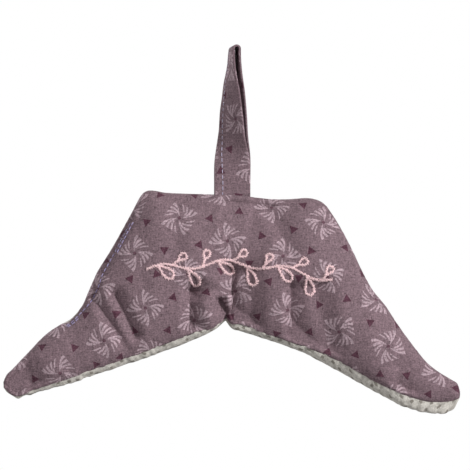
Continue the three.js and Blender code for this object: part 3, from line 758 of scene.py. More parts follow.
class Weaver:
    """A node tree under construction, with short calls for the nodes that the finishes use."""

    def __init__(self, name):
        self.material = bpy.data.materials.new(name)
        self.material.use_nodes = True
        self.tree = self.material.node_tree
        self.shader = self.tree.nodes["Principled BSDF"]

    def node(self, kind, inputs=None, **settings):
        """A new node of a kind with its settings, and with inputs fed by their names or numbers."""
        made = self.tree.nodes.new(kind)
        for key, value in settings.items():
            setattr(made, key, value)
        for key, value in (inputs or {}).items():
            self.feed(made.inputs[key], value)
        return made

    def feed(self, socket, value):
        value = value.socket if isinstance(value, Value) else value
        if isinstance(value, bpy.types.NodeSocket):
            self.tree.links.new(value, socket)
        else:
            socket.default_value = value

    def math(self, operation, *values):
        made = self.node("ShaderNodeMath", dict(enumerate(values)), operation=operation)
        return Value(self, made.outputs[0])

    def vector(self, operation, *values):
        return self.node("ShaderNodeVectorMath", dict(enumerate(values)), operation=operation).outputs[0]

    def scaled(self, vector, factor):
        return self.node("ShaderNodeVectorMath", {0: vector, "Scale": factor}, operation="SCALE").outputs[0]

    def turned(self, vector, angle):
        inputs = {"Vector": vector, "Angle": angle}
        return self.node("ShaderNodeVectorRotate", inputs, rotation_type="Z_AXIS").outputs[0]

    def step(self, low, high, value):
        inputs = {"Value": value, "From Min": low, "From Max": high}
        made = self.node("ShaderNodeMapRange", inputs, interpolation_type="SMOOTHSTEP")
        return Value(self, made.outputs[0])

    def noise(self, vector, scale, detail=2.0, rough=0.5):
        inputs = {"Vector": vector, "Scale": scale, "Detail": detail, "Roughness": rough}
        return Value(self, self.node("ShaderNodeTexNoise", inputs).outputs["Fac"])

    def mix(self, share, first, second):
        made = self.node("ShaderNodeMix", {"Factor": share}, data_type="RGBA")
        for name, value in (("A", first), ("B", second)):
            socket = next(s for s in made.inputs if s.name == name and s.type == "RGBA")
            self.feed(socket, value if isinstance(value, bpy.types.NodeSocket) else (*value, 1))
        return next(s for s in made.outputs if s.type == "RGBA")

    def uv(self):
        """Place on the flat cloth in metres, or along and round a thread."""
        return self.node("ShaderNodeUVMap", uv_map="cloth").outputs[0]

    def place(self):
        """Place in the object in metres, for pieces without a flat cloth."""
        return self.node("ShaderNodeTexCoord").outputs["Object"]

    def split(self, vector):
        made = self.node("ShaderNodeSeparateXYZ", {0: vector})
        return Value(self, made.outputs[0]), Value(self, made.outputs[1])

    def join(self, x, y):
        return self.node("ShaderNodeCombineXYZ", {0: x, 1: y}).outputs[0]

    def bump(self, height, distance, strength=1.0):
        made = self.node("ShaderNodeBump", {"Strength": strength, "Distance": distance, "Height": height})
        self.tree.links.new(made.outputs[0], self.shader.inputs["Normal"])

    def finish(self, base, roughness, sheen=0.0, specular=0.1):
        for name, value in (
            ("Base Color", base), ("Roughness", roughness), ("Sheen Weight", sheen), ("Sheen Roughness", 0.5),
            ("Specular IOR Level", specular),
        ):
            self.feed(self.shader.inputs[name], value)
        return self.material


def highest(values):
    return functools.reduce(lambda most, value: most.math("MAXIMUM", value), values)


def lattice(weaver, place, cell, shift, jitter, salt):
    """Local place within a lattice cell, turned and moved at random from cell to cell."""
    shifted = weaver.vector("ADD", weaver.vector("DIVIDE", place, (*cell, 1)), (*shift, 0))
    number = weaver.vector("ADD", weaver.vector("FLOOR", shifted), (salt, salt * 1.7, 3.1))
    chance = weaver.node("ShaderNodeTexWhiteNoise", {"Vector": number}, noise_dimensions="3D").outputs
    local = weaver.vector("SUBTRACT", weaver.vector("FRACTION", shifted), (0.5, 0.5, 0))
    offset = weaver.vector("SUBTRACT", chance["Color"], (0.5, 0.5, 0.5))
    local = weaver.vector("ADD", weaver.vector("MULTIPLY", local, (*cell, 0)), weaver.scaled(offset, jitter))
    x, y = weaver.split(weaver.turned(local, Value(weaver, chance["Value"]) * (2 * math.pi)))
    mirrored = weaver.split(offset)[1].math("SIGN")
    return weaver.join(x * mirrored, y)


def whirl(weaver, local):
    """Share of pale print in a square pinwheel, whose blades are fans of curved strokes that grow thinner in
    turn, and share of the dark dot in its middle."""
    quarter = 2 * math.pi / WHIRL_BLADES
    x, y = weaver.split(local)
    away = (x * x + y * y).math("SQRT")
    twist, ahead = WHIRL_TURN
    phase = y.math("ARCTAN2", x) + (away * twist - ahead)
    blade = (phase / quarter).math("FLOOR") + 1.0
    out, side = weaver.split(weaver.turned(local, blade * -quarter))
    share = (out / WHIRL_HALF).math("MAXIMUM", 0.02).math("MINIMUM", 1.0)
    rise = 1.0 - (1.0 - share).math("POWER", STROKE_CURVE)
    bent = side - (rise - share) * STROKE_BEND
    fan = (STROKE_FIRST - bent / share) / STROKE_STEP
    number = fan.math("ROUND")
    aside = (fan - number).math("ABSOLUTE") * (share * STROKE_STEP)
    wide = (STROKE_WIDE - number * STROKE_THINNER) * (share * 0.5 + 0.5)
    square = x.math("ABSOLUTE").math("MAXIMUM", y.math("ABSOLUTE"))
    body = weaver.step(-0.1, 0.12, wide - aside)
    for within in (
        weaver.step(WHIRL_HALF + 0.15, WHIRL_HALF - 0.2, square),
        weaver.step(0.5, 1.2, away - number * STROKE_START),
        number.math("GREATER_THAN", -0.5), number.math("LESS_THAN", WHIRL_STROKES - 0.5),
    ):
        body = body * within
    return body, weaver.step(*WHIRL_DOT, away)


def triangle(weaver, local):
    """Share of plum print in a small triangle."""
    x, y = weaver.split(local)
    slope, inner = math.sqrt(3) / 2, TRIANGLE_SIDE / (2 * math.sqrt(3))
    far = highest([x * slope + y * 0.5, x * -slope + y * 0.5, y * -1.0])
    return 1.0 - weaver.step(inner - 0.12, inner + 0.12, far)


def weave(weaver, place, pitch):
    """Height and shade of a fine plain weave: warp and weft pass over each other in turn."""
    wobble = weaver.noise(place, 0.9, 2) * 2
    warp, weft = ((part * (2 * math.pi / pitch) + wobble).math("SINE") for part in weaver.split(place))
    long_warp, long_weft = (
        weaver.noise(weaver.vector("MULTIPLY", place, slub), 1, 3, 0.75) for slub in SLUBS)
    return warp * weft, (long_warp + long_weft) * 0.6 + weaver.noise(place, 1.5, 2, 0.6) * 0.8


def woven(weaver, place, base, pitch, grain_and_painted_shade, relief):
    """The colour of a cloth made uneven by its weave and darkened between its threads as painted shade; the
    weave also gives the cloth its relief.
    """
    height, slubs = weave(weaver, place, pitch)
    by_slub, painted_weave_shade, start = grain_and_painted_shade
    weaver.bump(height + slubs * 1.5, relief, 0.8)
    # The height term paints the weave's relief into the colour as painted shade: crossings lighter, gaps
    # between threads darker.
    return weaver.scaled(base, slubs * by_slub + height * painted_weave_shade + start)


def printed_cotton(name, colours):
    weaver = Weaver(name)
    place = weaver.scaled(weaver.uv(), 1000)
    tilted = weaver.turned(weaver.vector("ADD", place, PRINT_PLACE), PRINT_TILT)
    cell = (PRINT_SPACING, PRINT_SPACING * math.sqrt(3))

    def marks(mark, sites, jitter, salt):
        places = [lattice(weaver, tilted, cell, site, jitter, salt + n) for n, site in enumerate(sites)]
        return [mark(weaver, place) for place in places]

    strokes, dots = zip(*marks(whirl, WHIRL_SITES, WHIRL_JITTER, 5))
    triangles = marks(triangle, TRIANGLE_SITES, TRIANGLE_JITTER, 11)
    base = weaver.mix(highest(strokes) * STROKE_INK, tuple(colours.ground), tuple(colours.whirl))
    base = weaver.mix(highest(dots) * DOT_INK, base, tuple(colours.plum))
    base = weaver.mix(highest(triangles) * TRIANGLE_INK, base, tuple(colours.plum))
    base = woven(weaver, place, base, *PRINT_WEAVE)
    return weaver.finish(weaver.scaled(base, weaver.noise(place, 0.05, 3) * 0.14 + 0.93), 0.9, 0.03)


def pale_cotton(name, colours):
    weaver = Weaver(name)
    place = weaver.scaled(weaver.uv(), 1000)
    marks = []
    for n, site in enumerate(WHIRL_SITES):
        local = lattice(weaver, place, SPECK_CELL, site, SPECK_JITTER, 21 + n)
        x, y = weaver.split(weaver.vector("MULTIPLY", local, (1, 1.3, 1)))
        ragged = (x * x + y * y).math("SQRT") + weaver.noise(place, 1.0, 3) * SPECK_RAGGED
        marks.append(1.0 - weaver.step(*SPECK_EDGE, ragged))
    cloudy = weaver.step(0.42, 0.68, weaver.noise(place, 0.45, 3))
    speck = highest([highest(marks) * 0.8, cloudy * 0.4])
    base = weaver.mix(speck, tuple(colours.pale), tuple(colours.speck))
    return weaver.finish(woven(weaver, place, base, *PALE_WEAVE), 0.92, 0.03)


def spun_thread(name, tint, roughness, sheen, uneven=0.36):
    """Twisted thread: fine ridges wind round each strand, with painted highlight on their tops and painted
    shade between them, and its tone varies at random from strand to strand.
    """
    weaver = Weaver(name)
    around, along = weaver.split(weaver.uv())
    wind = ((around + along * 5) * (4 * math.pi)).math("SINE")
    shade = weaver.noise(weaver.uv(), 3.0, 3) * uneven + (1 - uneven / 2)
    weaver.bump(wind, 0.00003, 0.6)
    # wind * 0.07 paints the twist's relief into the colour: painted highlight on the ridges and painted shade
    # between them.
    return weaver.finish(weaver.scaled(tuple(tint), wind * 0.07 + shade), roughness, sheen, 0.5)


def dried_herb(name, colours):
    weaver = Weaver(name)
    place = weaver.place()
    made = weaver.node("ShaderNodeTexVoronoi", {"Vector": place, "Scale": 420})
    flakes = Value(weaver, made.outputs["Distance"])
    hue = weaver.mix(weaver.noise(place, 300, 2), tuple(colours.herb), BLOSSOM)
    weaver.bump(flakes, 0.0006)
    return weaver.finish(weaver.scaled(hue, flakes * 0.9 + 0.6), 0.95)


def nonwoven(name, colours):
    weaver = Weaver(name)
    fibres = weaver.noise(weaver.place(), 2600, 4, 0.7)
    weaver.bump(fibres, 0.00008)
    return weaver.finish(weaver.scaled(tuple(colours.backing), fibres * 0.3 + 0.8), 0.95)


def pale_floor(name, stage):
    """Pale where the camera sees it, and darker to the light that it throws back up."""
    weaver = Weaver(name)
    base = weaver.scaled(tuple(stage.floor), weaver.noise(weaver.place(), 4, 3) * 0.03 + 0.985)
    seen = weaver.node("ShaderNodeLightPath").outputs["Is Camera Ray"]
    return weaver.finish(weaver.mix(seen, FLOOR_BOUNCE, base), 0.8)


def finish_named(name, make, *values):
    return bpy.data.materials.get(name) or make(name, *values)


# Stitches and tape

def lift_of(thread, sink, lie, rise):
    """Heights along a stitch: it comes out of the cloth, lies on it and goes back in."""
    place = np.arange(STITCH_POINTS)
    end = np.minimum(place, place[::-1]) / (STITCH_POINTS - 1)
    return lerp(-sink, thread * lie, smoothstep(0, rise, end))


def closing_line(pad):
    """The closing topstitch's line on a panel, in x and z, from the lower to the upper end of the gap."""
    inset = bpy.context.scene.sachet_stitch.closing_inset
    low, high = (pad.place(share, 0)[0] for share in GAP_SHARES)
    edge = pad.upper[(pad.upper[:, 0] > low) & (pad.upper[:, 0] < high)]
    normal = unit(np.gradient(edge, axis=0))[:, ::-1] * (1, -1)
    drift = spline(CLOSING_SHARES, np.linspace(0, len(CLOSING_SHARES) - 1, len(edge)))
    return edge + normal * inset * drift[:, None]


def stitched(strands, tree, line, side, pitch, thread):
    """A row of stitches along a line of x and z points, on the cloth of one panel."""
    line = spline(line, evenly(line, 6 * len(line)))
    along = run_of(line)
    lifts = lift_of(thread, *CLOSING_LIFT)
    for n in range(int(along[-1] / pitch)):
        at = np.linspace(n + CLOSING_GAP / 2, n + 1 - CLOSING_GAP / 2, STITCH_POINTS) * pitch
        wander = (hashed(n, side, 3) - 0.5) * CLOSING_WANDER
        places = zip(read(line, along, at), lifts)
        path = [on_cloth(tree, x + wander, z, side, float(lift)) for (x, z), lift in places]
        strands.add(path, thread / 2, STITCH_FLAT, (0, side, 0))


def loop_line(size, count):
    """Middle of the tape's thickness before its twist, from the front end in the seam over the top and down
    the back: depth and height, the direction of its outer face, and the distance along it."""
    pad = bpy.context.scene.sachet_pad
    middle = size.eye + size.thick / 2
    foot = size.ply_gap + size.thick / 2
    leg = np.linspace(-pad.drop - pad.allowance, 0, 60)
    depth = -lerp(foot, middle, smoothstep(HINGE.z, 0, leg))
    turn = np.linspace(0, np.pi, 25)[1:-1]
    rows = np.array([
        *zip(depth, leg), *((-math.cos(t) * middle, math.sin(t) * middle) for t in turn),
        *zip(-depth[::-1], leg[::-1]),
    ])
    rows = spline(rows, evenly(rows, count))
    return rows, unit(np.gradient(rows, axis=0))[:, ::-1] * (-1, 1), run_of(rows)


def loop_points(w, depth, height):
    """Points of the loop: w across the tape from its middle, then depth and height before the twist."""
    size = bpy.context.scene.sachet_loop
    up = np.clip((height - HINGE.z) / -HINGE.z, 0, 1)
    curl = np.sin(np.pi * up) * np.maximum(-w / (size.width / 2), 0) ** 2
    turn = -spline(TWIST_SHARES, up * (len(TWIST_SHARES) - 1)) * np.pi / 2
    y = depth + size.curl * curl
    middle = lerp(HINGE.x, 0, up**5)
    return np.stack([
        w * np.cos(turn) - y * np.sin(turn) + middle, w * np.sin(turn) + y * np.cos(turn),
        np.broadcast_to(height, np.shape(turn)),
    ], axis=-1)


def stitch_inset(size, height):
    up = np.clip((height - HINGE.z) / -HINGE.z, 0, 1)
    return lerp(size.stitch_inset, size.eye_inset, smoothstep(0, 0.5, up))


def tape_section(size, height, groove):
    """Closed outline of the folded tape: one folded edge on the right, two stitched-down lips on the left."""
    half, thick = size.width / 2, size.thick / 2
    inset = stitch_inset(size, height)
    face = []
    for w in np.linspace(-half + TAPE_LIP, half - TAPE_ROUND, 15):
        near = abs(w + half - inset) / GROOVE_WIDE
        face.append((w, thick * (1 - groove * math.exp(-near**2))))
    right = [
        (half - TAPE_ROUND + math.sin(t) * TAPE_ROUND, math.cos(t) * thick * TAPE_FULL)
        for t in np.linspace(*TAPE_TURN, 6)]
    under = [(w, -n) for w, n in reversed(face)]
    left = [(-half + w * MM, thick * n) for w, n in LIP_SECTION]
    return np.array(face + right + under + left)


# Operators

class SACHET_OT_panels(bpy.types.Operator):
    """Settles the front and back panels and turns in their seam allowances"""
    bl_idname = "sachet.panels"
    bl_label = "Panels"

    def execute(self, context):
        scene = context.scene
        pad = pad_of(scene, FINE[0])
        front, front_flat = settled_panel(scene, -1)
        back, back_flat = settled_panel(scene, 1)
        chord = lerp(-pad.half_gap[:, None], -pad.roll[:, None], np.linspace(0, 1, FINE[1])[None, :])
        front_away, back_away = (
            away_from(face, np.concatenate([face[:, 0, ::2], face[:, -1, ::2]])) for face in (front, back))
        folded = front[..., 1] + fold_depth(pad, front, FOLD_SHARES, front_away)
        front[..., 1] = np.minimum(folded, chord - FOLD_CLEAR)
        back[..., 1] -= fold_depth(pad, back, BACK_FOLD_SHARES, back_away)
        closing = closing_line(pad)
        for face, side in ((front, 1), (back, -1)):
            soft = sum(
                wrinkles(face[..., 0], face[..., 2], wide, tall, SEED + n) * high
                for n, (wide, tall, high) in enumerate(WRINKLES))
            face[..., 1] += soft * MM * side * smoothstep(*FADE, front_away)
            self.pucker(pad, face, side)
            # The closing topstitch draws the cloth in along its line and leaves a thin lip outside it
            face[..., 1] += side * PRESS_DEPTH * np.exp(-(away_from(face, closing) / PRESS_REACH) ** 2)
        cotton = finish_named("printed_cotton_finish", printed_cotton, scene.sachet_colours)
        pale = finish_named("pale_cotton_finish", pale_cotton, scene.sachet_colours)
        for face, flat, name, side, material, node, slot in (
            (front, front_flat, "front_panel_cloth", -1, cotton, "front_panel", "print_cotton"),
            (back, back_flat, "back_panel_cloth", 1, pale, "back_panel", "pale_cotton"),
        ):
            piece = closed_panel(pad, face, flat, name, side, material)
            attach(piece, "sachet")
            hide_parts(node)
        return {"FINISHED"}

    def pucker(self, pad, face, side):
        """Small gathers where the seam draws the cloth in, strongest on the back at the lower seam."""
        run = run_of(face[:, -1])
        wide, narrow = GATHER_STEPS
        waves = ripples(run, wide, SEED + 5 + side) + GATHER_SECOND * ripples(run, narrow, SEED + 8 + side)
        span = np.linspace(0, 1, face.shape[1])[None, :] * pad.length[:, None]
        from_lower = pad.length[:, None] - span
        lower = (GATHER_FRONT if side > 0 else GATHER_BACK) * np.exp(-from_lower / GATHER_LOWER_REACH)
        deep = lower + GATHER_UPPER * np.exp(-span / GATHER_UPPER_REACH)
        reach = 1 - np.exp(-np.minimum(span, from_lower) / GATHER_RISE)
        outward = unit(np.cross(np.gradient(face, axis=0), np.gradient(face, axis=1)))
        face += outward * (waves[:, None] * deep * reach * MM)[..., None]


class SACHET_OT_filling(bpy.types.Operator):
    """Fills the pad with dried herb"""
    bl_idname = "sachet.filling"
    bl_label = "Herb filling"

    def execute(self, context):
        scene = context.scene
        front_tree, back_tree = tree_of("front_panel_cloth"), tree_of("back_panel_cloth")
        pad = pad_of(scene, FILLING_RIBS)
        rows = []
        for i in np.flatnonzero(pad.length > FILLING_FROM):
            row = []
            for side, tree in ((-1, front_tree), (1, back_tree)):
                face = []
                for v in np.linspace(*FILLING_SHARES, FILLING_POINTS):
                    x, z = pad.upper[i] + pad.along[i] * pad.length[i] * v
                    lump = FILLING_LUMP * hashed(i, v, side)
                    face.append(on_cloth(tree, x, z, side, -FILLING_INSET - lump))
                row += face if side < 0 else face[::-1]
            rows.append(row)
        points = np.array(rows)
        half = points.shape[1] // 2
        front = self.spread(points[:, :half, 1], np.maximum)
        back = self.spread(points[:, half:, 1], np.minimum)
        middle = (front + back[:, ::-1]) / 2
        points[:, :half, 1] = np.minimum(front, middle - FILLING_LEAST)
        points[:, half:, 1] = np.maximum(back, middle[:, ::-1] + FILLING_LEAST)
        wrapped = np.concatenate([points, points[:, :1]], axis=1)
        piece = link_mesh("herb_filling_mass", wrapped.reshape(-1, 3), grid_faces(*wrapped.shape[:2]))
        face_outward(piece, weld=True)
        piece.data.materials.append(finish_named("dried_herb_finish", dried_herb, scene.sachet_colours))
        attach(piece, "sachet")
        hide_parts("herb_filling")
        return {"FINISHED"}

    def spread(self, depth, pick):
        """Depth drawn in to that of the neighbouring points, so that the filling keeps clear of the folds."""
        wide = np.pad(depth, 1, mode="edge")
        for axis in (0, 1):
            count = wide.shape[axis] - 2
            parts = [np.take(wide, np.arange(i, i + count), axis=axis) for i in range(3)]
            wide = functools.reduce(pick, parts)
        return wide


class SACHET_OT_loop(bpy.types.Operator):
    """Folds the tape loop over the hanging point and stitches its edge"""
    bl_idname = "sachet.loop"
    bl_label = "Tape loop"

    def execute(self, context):
        scene = context.scene
        self.tape(scene, scene.sachet_loop, scene.sachet_stitch.pitch)
        self.topstitch(scene, scene.sachet_loop, scene.sachet_stitch)
        return {"FINISHED"}

    def tape(self, scene, size, pitch):
        points, uvs = [], []
        rows, outward, along = loop_line(size, TAPE_POINTS)
        for (depth, height), (out_y, out_z), run in zip(rows, outward, along):
            puff = 0.5 - 0.5 * math.cos(2 * math.pi * run / pitch)
            section = tape_section(size, height, GROOVE_DEPTH - GROOVE_PUFF * puff)
            near_lip = np.exp(-((section[:, 0] + size.width / 2) / RIPPLE_REACH) ** 2)
            n = section[:, 1] + RIPPLE_DEPTH * math.sin(run / RIPPLE_STEP) * near_lip
            points.append(loop_points(section[:, 0], depth + n * out_y, height + n * out_z))
            around = np.where(section[:, 1] >= 0, section[:, 0], -section[:, 0] + 2 * size.width)
            uvs.append(np.stack([around, np.full(len(section), run)], axis=1) + TAPE_PRINT)
        points, uvs = np.array(points), np.array(uvs)
        cotton = finish_named("printed_cotton_finish", printed_cotton, scene.sachet_colours)
        faces = ring_faces(*points.shape[:2])
        piece = link_mesh("loop_tape", points.reshape(-1, 3), faces, uvs.reshape(-1, 2), cotton)
        face_outward(piece)
        self.bend(piece)
        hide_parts("hanging_loop", "loop_end_front", "loop_end_back")

    def topstitch(self, scene, size, stitch):
        rows, outward, along = loop_line(size, TAPE_STITCH_POINTS)
        strands = Strands()
        lifts = lift_of(stitch.thread, *TAPE_LIFT)
        mid = slice(STITCH_POINTS // 2, STITCH_POINTS // 2 + 1)
        for face in (1, -1):
            for n in range(2, int(along[-1] / stitch.pitch) - 2):
                at = np.linspace(n + TAPE_GAP / 2, n + 1 - TAPE_GAP / 2, STITCH_POINTS) * stitch.pitch
                depth, height = read(rows, along, at).T
                out_y, out_z = read(outward, along, at).T
                lift = face * (size.thick / 2 * GROOVE_FLOOR + lifts)
                wander = (hashed(n, face, 9) - 0.5) * TAPE_WANDER
                w = stitch_inset(size, height) - size.width / 2
                path = loop_points(w + wander, depth + lift * out_y, height + lift * out_z)
                foot, top = (
                    loop_points(np.zeros(1), depth[mid] + out_y[mid] * far, height[mid] + out_z[mid] * far)
                    for far in (0, MM))
                strands.add(path, stitch.thread / 2, STITCH_FLAT, unit(top - foot)[0])
        thread = finish_named("lavender_thread_finish", spun_thread, scene.sachet_colours.lavender, 0.5, 0.3)
        piece = strands.piece("loop_tape_stitches", thread)
        self.bend(piece)
        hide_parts("loop_topstitch")

    def bend(self, piece):
        """Bakes the piece's transform into its mesh."""
        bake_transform(piece)


class SACHET_OT_closing(bpy.types.Operator):
    """Stitches the turning gap shut, with a doubled row at both of its ends"""
    bl_idname = "sachet.closing"
    bl_label = "Closing topstitch"

    def execute(self, context):
        scene = context.scene
        stitch = scene.sachet_stitch
        line = closing_line(pad_of(scene, CLOSING_RIBS))
        rows = [(line, stitch.pitch)]
        for low, high in DOUBLED_SHARES:
            part = line[int(len(line) * low):int(len(line) * high)]
            rows.append((part + DOUBLED_OFFSET, stitch.pitch * DOUBLED_PITCH))
        thread = finish_named("violet_thread_finish", spun_thread, scene.sachet_colours.violet, 0.5, 0.3)
        for side, cloth, name, node in (
            (-1, "front_panel_cloth", "closing_stitches_front", "closing_topstitch"),
            (1, "back_panel_cloth", "closing_stitches_back", "closing_bobbin_thread"),
        ):
            tree = tree_of(cloth)
            strands = Strands()
            for row, pitch in rows:
                stitched(strands, tree, row, side, pitch, stitch.closing_thread)
            piece = strands.piece(name, thread)
            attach(piece, "sachet")
            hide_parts(node)
        return {"FINISHED"}


class SACHET_OT_seam(bpy.types.Operator):
    """Stitches the two panels together round the pad, inside the seam"""
    bl_idname = "sachet.seam"
    bl_label = "Seam"

    def execute(self, context):
        scene = context.scene
        pitch = scene.sachet_stitch.pitch
        pad = pad_of(scene, SEAM_RIBS)
        inset = np.minimum(SEAM_INSET, pad.length * SEAM_LIMIT)
        upper = pad.at(inset[:, None], np.zeros((pad.count, 1)))[:, 0]
        lower = pad.at((pad.length - inset)[:, None], -pad.roll[:, None])[:, 0]
        low, high = (pad.place(share, 0)[0] for share in GAP_SHARES)
        left, right = upper[pad.upper[:, 0] < low], upper[pad.upper[:, 0] > high]
        line = np.concatenate([left[::-1], lower, right[::-1]])
        along = run_of(line)
        strands = Strands()
        for n in range(int(along[-1] / pitch)):
            path = read(line, along, np.linspace(n + 0.06, n + 0.94, SEAM_POINTS) * pitch)
            path[:, 1] += np.sin(np.linspace(0, np.pi, SEAM_POINTS)) * SEAM_SAG
            strands.add(path, SEAM_THREAD / 2)
        thread = finish_named("seam_thread_finish", spun_thread, scene.sachet_colours.seam, 0.7, 0.2)
        piece = strands.piece("seam_stitches", thread)
        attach(piece, "sachet")
        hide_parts("perimeter_seam_thread")
        return {"FINISHED"}


class SACHET_OT_embroidery(bpy.types.Operator):
    """Embroiders a herb sprig across the chest in satin stitch, on its nonwoven backing"""
    bl_idname = "sachet.embroidery"
    bl_label = "Embroidered sprig"

    def execute(self, context):
        scene = context.scene
        stitch = scene.sachet_stitch
        band = pad_of(scene).place(*np.array(BAND_SHARES).T)
        fine = spline(band, np.linspace(0, 2, 200))
        self.line = spline(fine, evenly(fine, 400))
        self.stitch, self.tree = stitch, tree_of("front_panel_cloth")
        strands = Strands()
        self.satin(strands, np.array([self.stem(u) for u in np.linspace(0, 1, STEM_POINTS)]))
        for n in range(stitch.pairs * 2):
            u = (n + 0.7) / (stitch.pairs * 2 + 0.4)
            root, ahead = self.stem(u), self.stem(min(u + 0.01, 1)) - self.stem(u)
            up = 1 if n % 2 else -1
            heading = math.atan2(ahead[1], ahead[0]) + up * LEAF_ANGLE
            lean = np.array([math.cos(heading), math.sin(heading)])
            if up < 0:
                self.leaf(strands, root, lean, stitch.leaf, stitch.leaf_width)
            else:
                self.satin(strands, root + lean * np.linspace(0, stitch.stalk, STALK_POINTS)[:, None])
                self.leaf(strands, root + lean * stitch.stalk, lean, stitch.bud, stitch.bud_width)
        satin = finish_named("pink_satin_finish", spun_thread, scene.sachet_colours.satin, 0.4, 0.1, 1.5)
        piece = strands.piece("sprig_satin_stitches", satin)
        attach(piece, "sachet")
        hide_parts("embroidery")
        self.backing(scene, stitch)
        return {"FINISHED"}

    def stem(self, u):
        point = spline(self.line, np.array([u * (len(self.line) - 1)]))[0]
        return point + np.array([0, STEM_WAVE * math.sin(2 * math.pi * u * self.stitch.pairs / 2)])

    def satin(self, strands, line):
        """A narrow line of satin stitch: uneven strands side by side across it, each slanted its own way."""
        along = run_of(line)
        count = max(3, int(along[-1] / (self.stitch.satin * SATIN_PITCH)))
        tangent = unit(np.gradient(line, axis=0))
        half = self.stitch.stem / 2
        for n in range(count + 1):
            at = along[-1] * n / count
            place, run = read(line, along, at), read(tangent, along, at)
            left, right, turn = (hashed(n, place[0] * 1000, k) - 0.5 for k in (1, 2, 3))
            slant, uneven = SATIN_SLANTS[n % 2]
            across, ahead = run[::-1] * (-1, 1) * half, run * (self.stitch.satin * (slant + turn * uneven))
            start, end = place + across * (1 + left) - ahead, place - across * (1 + right) + ahead
            self.strand(strands, start, end, SATIN_RISE + SATIN_UNEVEN * turn)

    def leaf(self, strands, root, lean, reach, width):
        """A leaf or a bud drawn as a line that leaves its root on one side and comes back on the other."""
        side = np.array([-lean[1], lean[0]])
        round_trip = np.linspace(0, 1, LEAF_POINTS)
        out = np.sin(np.pi * round_trip) ** 0.85
        wide = np.sin(2 * np.pi * round_trip) * (1 - 0.15 * out)
        self.satin(strands, root + lean * (reach * out)[:, None] + side * (width / 2 * wide)[:, None])

    def strand(self, strands, start, end, rise):
        path = []
        for i in range(SATIN_POINTS):
            t = i / (SATIN_POINTS - 1)
            lift = (rise * MM + self.stitch.satin * 0.75) * math.sin(math.pi * t) ** 0.6 - SATIN_SINK
            path.append(on_cloth(self.tree, *lerp(start, end, t), -1, lift))
        strands.add(path, self.stitch.satin / 2, 0.85)

    def behind(self, x, z):
        """Point behind the cloth, clear of the bottoms of the folds beside it."""
        near = [on_cloth(self.tree, x + aside * MM, z, -1, -BACKING_BEHIND) for aside in BACKING_BESIDE]
        x, _, z = near[len(near) // 2]
        return np.array([x, max(point[1] for point in near), z])

    def backing(self, scene, stitch):
        half = stitch.leaf * BACKING_HALF
        along, across = BACKING_POINTS
        rows = []
        for x, z in spline(self.line, np.linspace(0, len(self.line) - 1, along)):
            rows.append([self.behind(x, z + d) for d in np.linspace(-half, half, across)])
        points = np.array(rows)
        material = finish_named("nonwoven_finish", nonwoven, scene.sachet_colours)
        faces = grid_faces(*points.shape[:2])
        piece = link_mesh("sprig_backing", points.reshape(-1, 3), faces, material=material)
        thicken(piece, BACKING_THICK)
        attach(piece, "sachet")
        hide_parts("embroidery_backing")


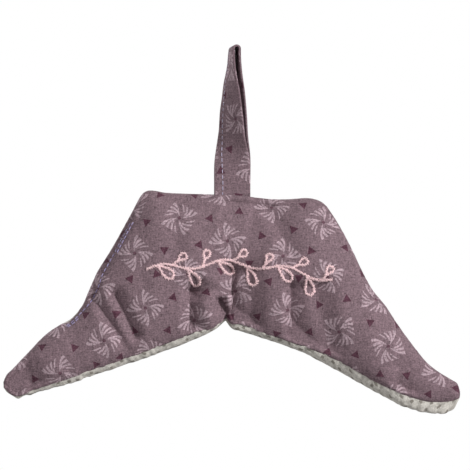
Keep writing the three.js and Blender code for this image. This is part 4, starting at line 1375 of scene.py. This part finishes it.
class SACHET_OT_stage(bpy.types.Operator):
    """Sets up the pale floor, the soft studio light and the camera"""
    bl_idname = "sachet.stage"
    bl_label = "Stage"

    def execute(self, context):
        scene = context.scene
        stage = scene.sachet_stage
        self.camera(scene, stage)
        self.floor(stage)
        for lamp in LAMPS:
            self.light(*lamp)
        self.world(scene)
        scene.view_settings.view_transform = "Standard"
        return {"FINISHED"}

    def camera(self, scene, stage):
        centre = stage.pixels / 2
        data = bpy.data.cameras.new("camera")
        data.sensor_width = 36
        data.lens = data.sensor_width * stage.distance / (stage.pixels * stage.scale * MM)
        data.clip_start, data.clip_end = 0.05, 20
        camera = bpy.data.objects.new("camera", data)
        across, down = ((centre - hang) * stage.scale * MM for hang in (stage.hang_x, stage.hang_y))
        camera.location = (across, -stage.distance, -down)
        camera.rotation_euler = (math.pi / 2, 0, 0)
        scene.collection.objects.link(camera)
        scene.camera = camera

    def floor(self, stage):
        corners = [(x * FLOOR_REACH, y * FLOOR_REACH, 0) for x, y in ((-1, -1), (1, -1), (1, 1), (-1, 1))]
        finish = finish_named("pale_floor", pale_floor, stage)
        floor = link_mesh("floor", corners, [(0, 1, 2, 3)], material=finish, smooth=False)
        floor.location.z = -stage.floor_drop

    def light(self, name, place, softness, strength):
        data = bpy.data.lights.new(name, "SUN")
        data.angle, data.energy = math.radians(softness), strength
        light = bpy.data.objects.new(name, data)
        light.location = place
        light.rotation_euler = (-Vector(place)).to_track_quat("-Z", "Y").to_euler()
        bpy.context.scene.collection.objects.link(light)

    def world(self, scene):
        """Soft grey light from all round, and plain white where the camera or a shiny thread looks past."""
        world = scene.world = bpy.data.worlds.new("studio")
        world.use_nodes = True
        nodes, links = world.node_tree.nodes, world.node_tree.links
        ambient, white = nodes["Background"], nodes.new("ShaderNodeBackground")
        for background, strength in ((ambient, AMBIENT), (white, 1)):
            background.inputs["Color"].default_value = (1, 1, 1, 1)
            background.inputs["Strength"].default_value = strength
        path, mix = nodes.new("ShaderNodeLightPath"), nodes.new("ShaderNodeMixShader")
        add, more = nodes.new("ShaderNodeMath"), nodes.new("ShaderNodeMath")
        add.operation = more.operation = "ADD"
        more.use_clamp = True
        for source, socket in (
            (path.outputs["Is Camera Ray"], add.inputs[0]), (path.outputs["Is Glossy Ray"], add.inputs[1]),
            (add.outputs[0], more.inputs[0]), (path.outputs["Is Transmission Ray"], more.inputs[1]),
            (more.outputs[0], mix.inputs["Fac"]), (ambient.outputs[0], mix.inputs[1]),
            (white.outputs[0], mix.inputs[2]), (mix.outputs[0], nodes["World Output"].inputs["Surface"]),
        ):
            links.new(source, socket)


PIECE_OPERATORS = (
    SACHET_OT_panels, SACHET_OT_filling, SACHET_OT_loop, SACHET_OT_closing, SACHET_OT_seam,
    SACHET_OT_embroidery, SACHET_OT_stage,
)


class SACHET_PT_panel(bpy.types.Panel):
    """Sizes, colours and building steps of the herb sachet"""
    bl_idname = "SACHET_PT_panel"
    bl_label = "Herb Sachet"
    bl_space_type = "VIEW_3D"
    bl_region_type = "UI"
    bl_category = "Herb Sachet"

    def draw(self, context):
        for operator in PIECE_OPERATORS:
            self.layout.operator(operator.bl_idname, text=operator.bl_label)
        for name, group in SETTINGS.items():
            box = self.layout.box()
            for key in group.__annotations__:
                box.prop(getattr(context.scene, name), key)


SETTINGS = {
    "sachet_pad": PadSizes, "sachet_loop": LoopSizes, "sachet_stitch": StitchSizes,
    "sachet_colours": ClothColours, "sachet_stage": StageSettings,
}


def register():
    for name, group in SETTINGS.items():
        bpy.utils.register_class(group)
        setattr(bpy.types.Scene, name, PointerProperty(type=group))
    for operator in (*PIECE_OPERATORS, SACHET_PT_panel):
        bpy.utils.register_class(operator)


def unregister():
    for operator in (SACHET_PT_panel, *reversed(PIECE_OPERATORS)):
        bpy.utils.unregister_class(operator)
    for name, group in SETTINGS.items():
        delattr(bpy.types.Scene, name)
        bpy.utils.unregister_class(group)


def main():
    register()
    bpy.ops.sachet.stage()
    bpy.ops.sachet.panels()
    bpy.ops.sachet.filling()
    bpy.ops.sachet.loop()
    bpy.ops.sachet.closing()
    bpy.ops.sachet.seam()
    bpy.ops.sachet.embroidery()


if __name__ == "__main__":
    main()
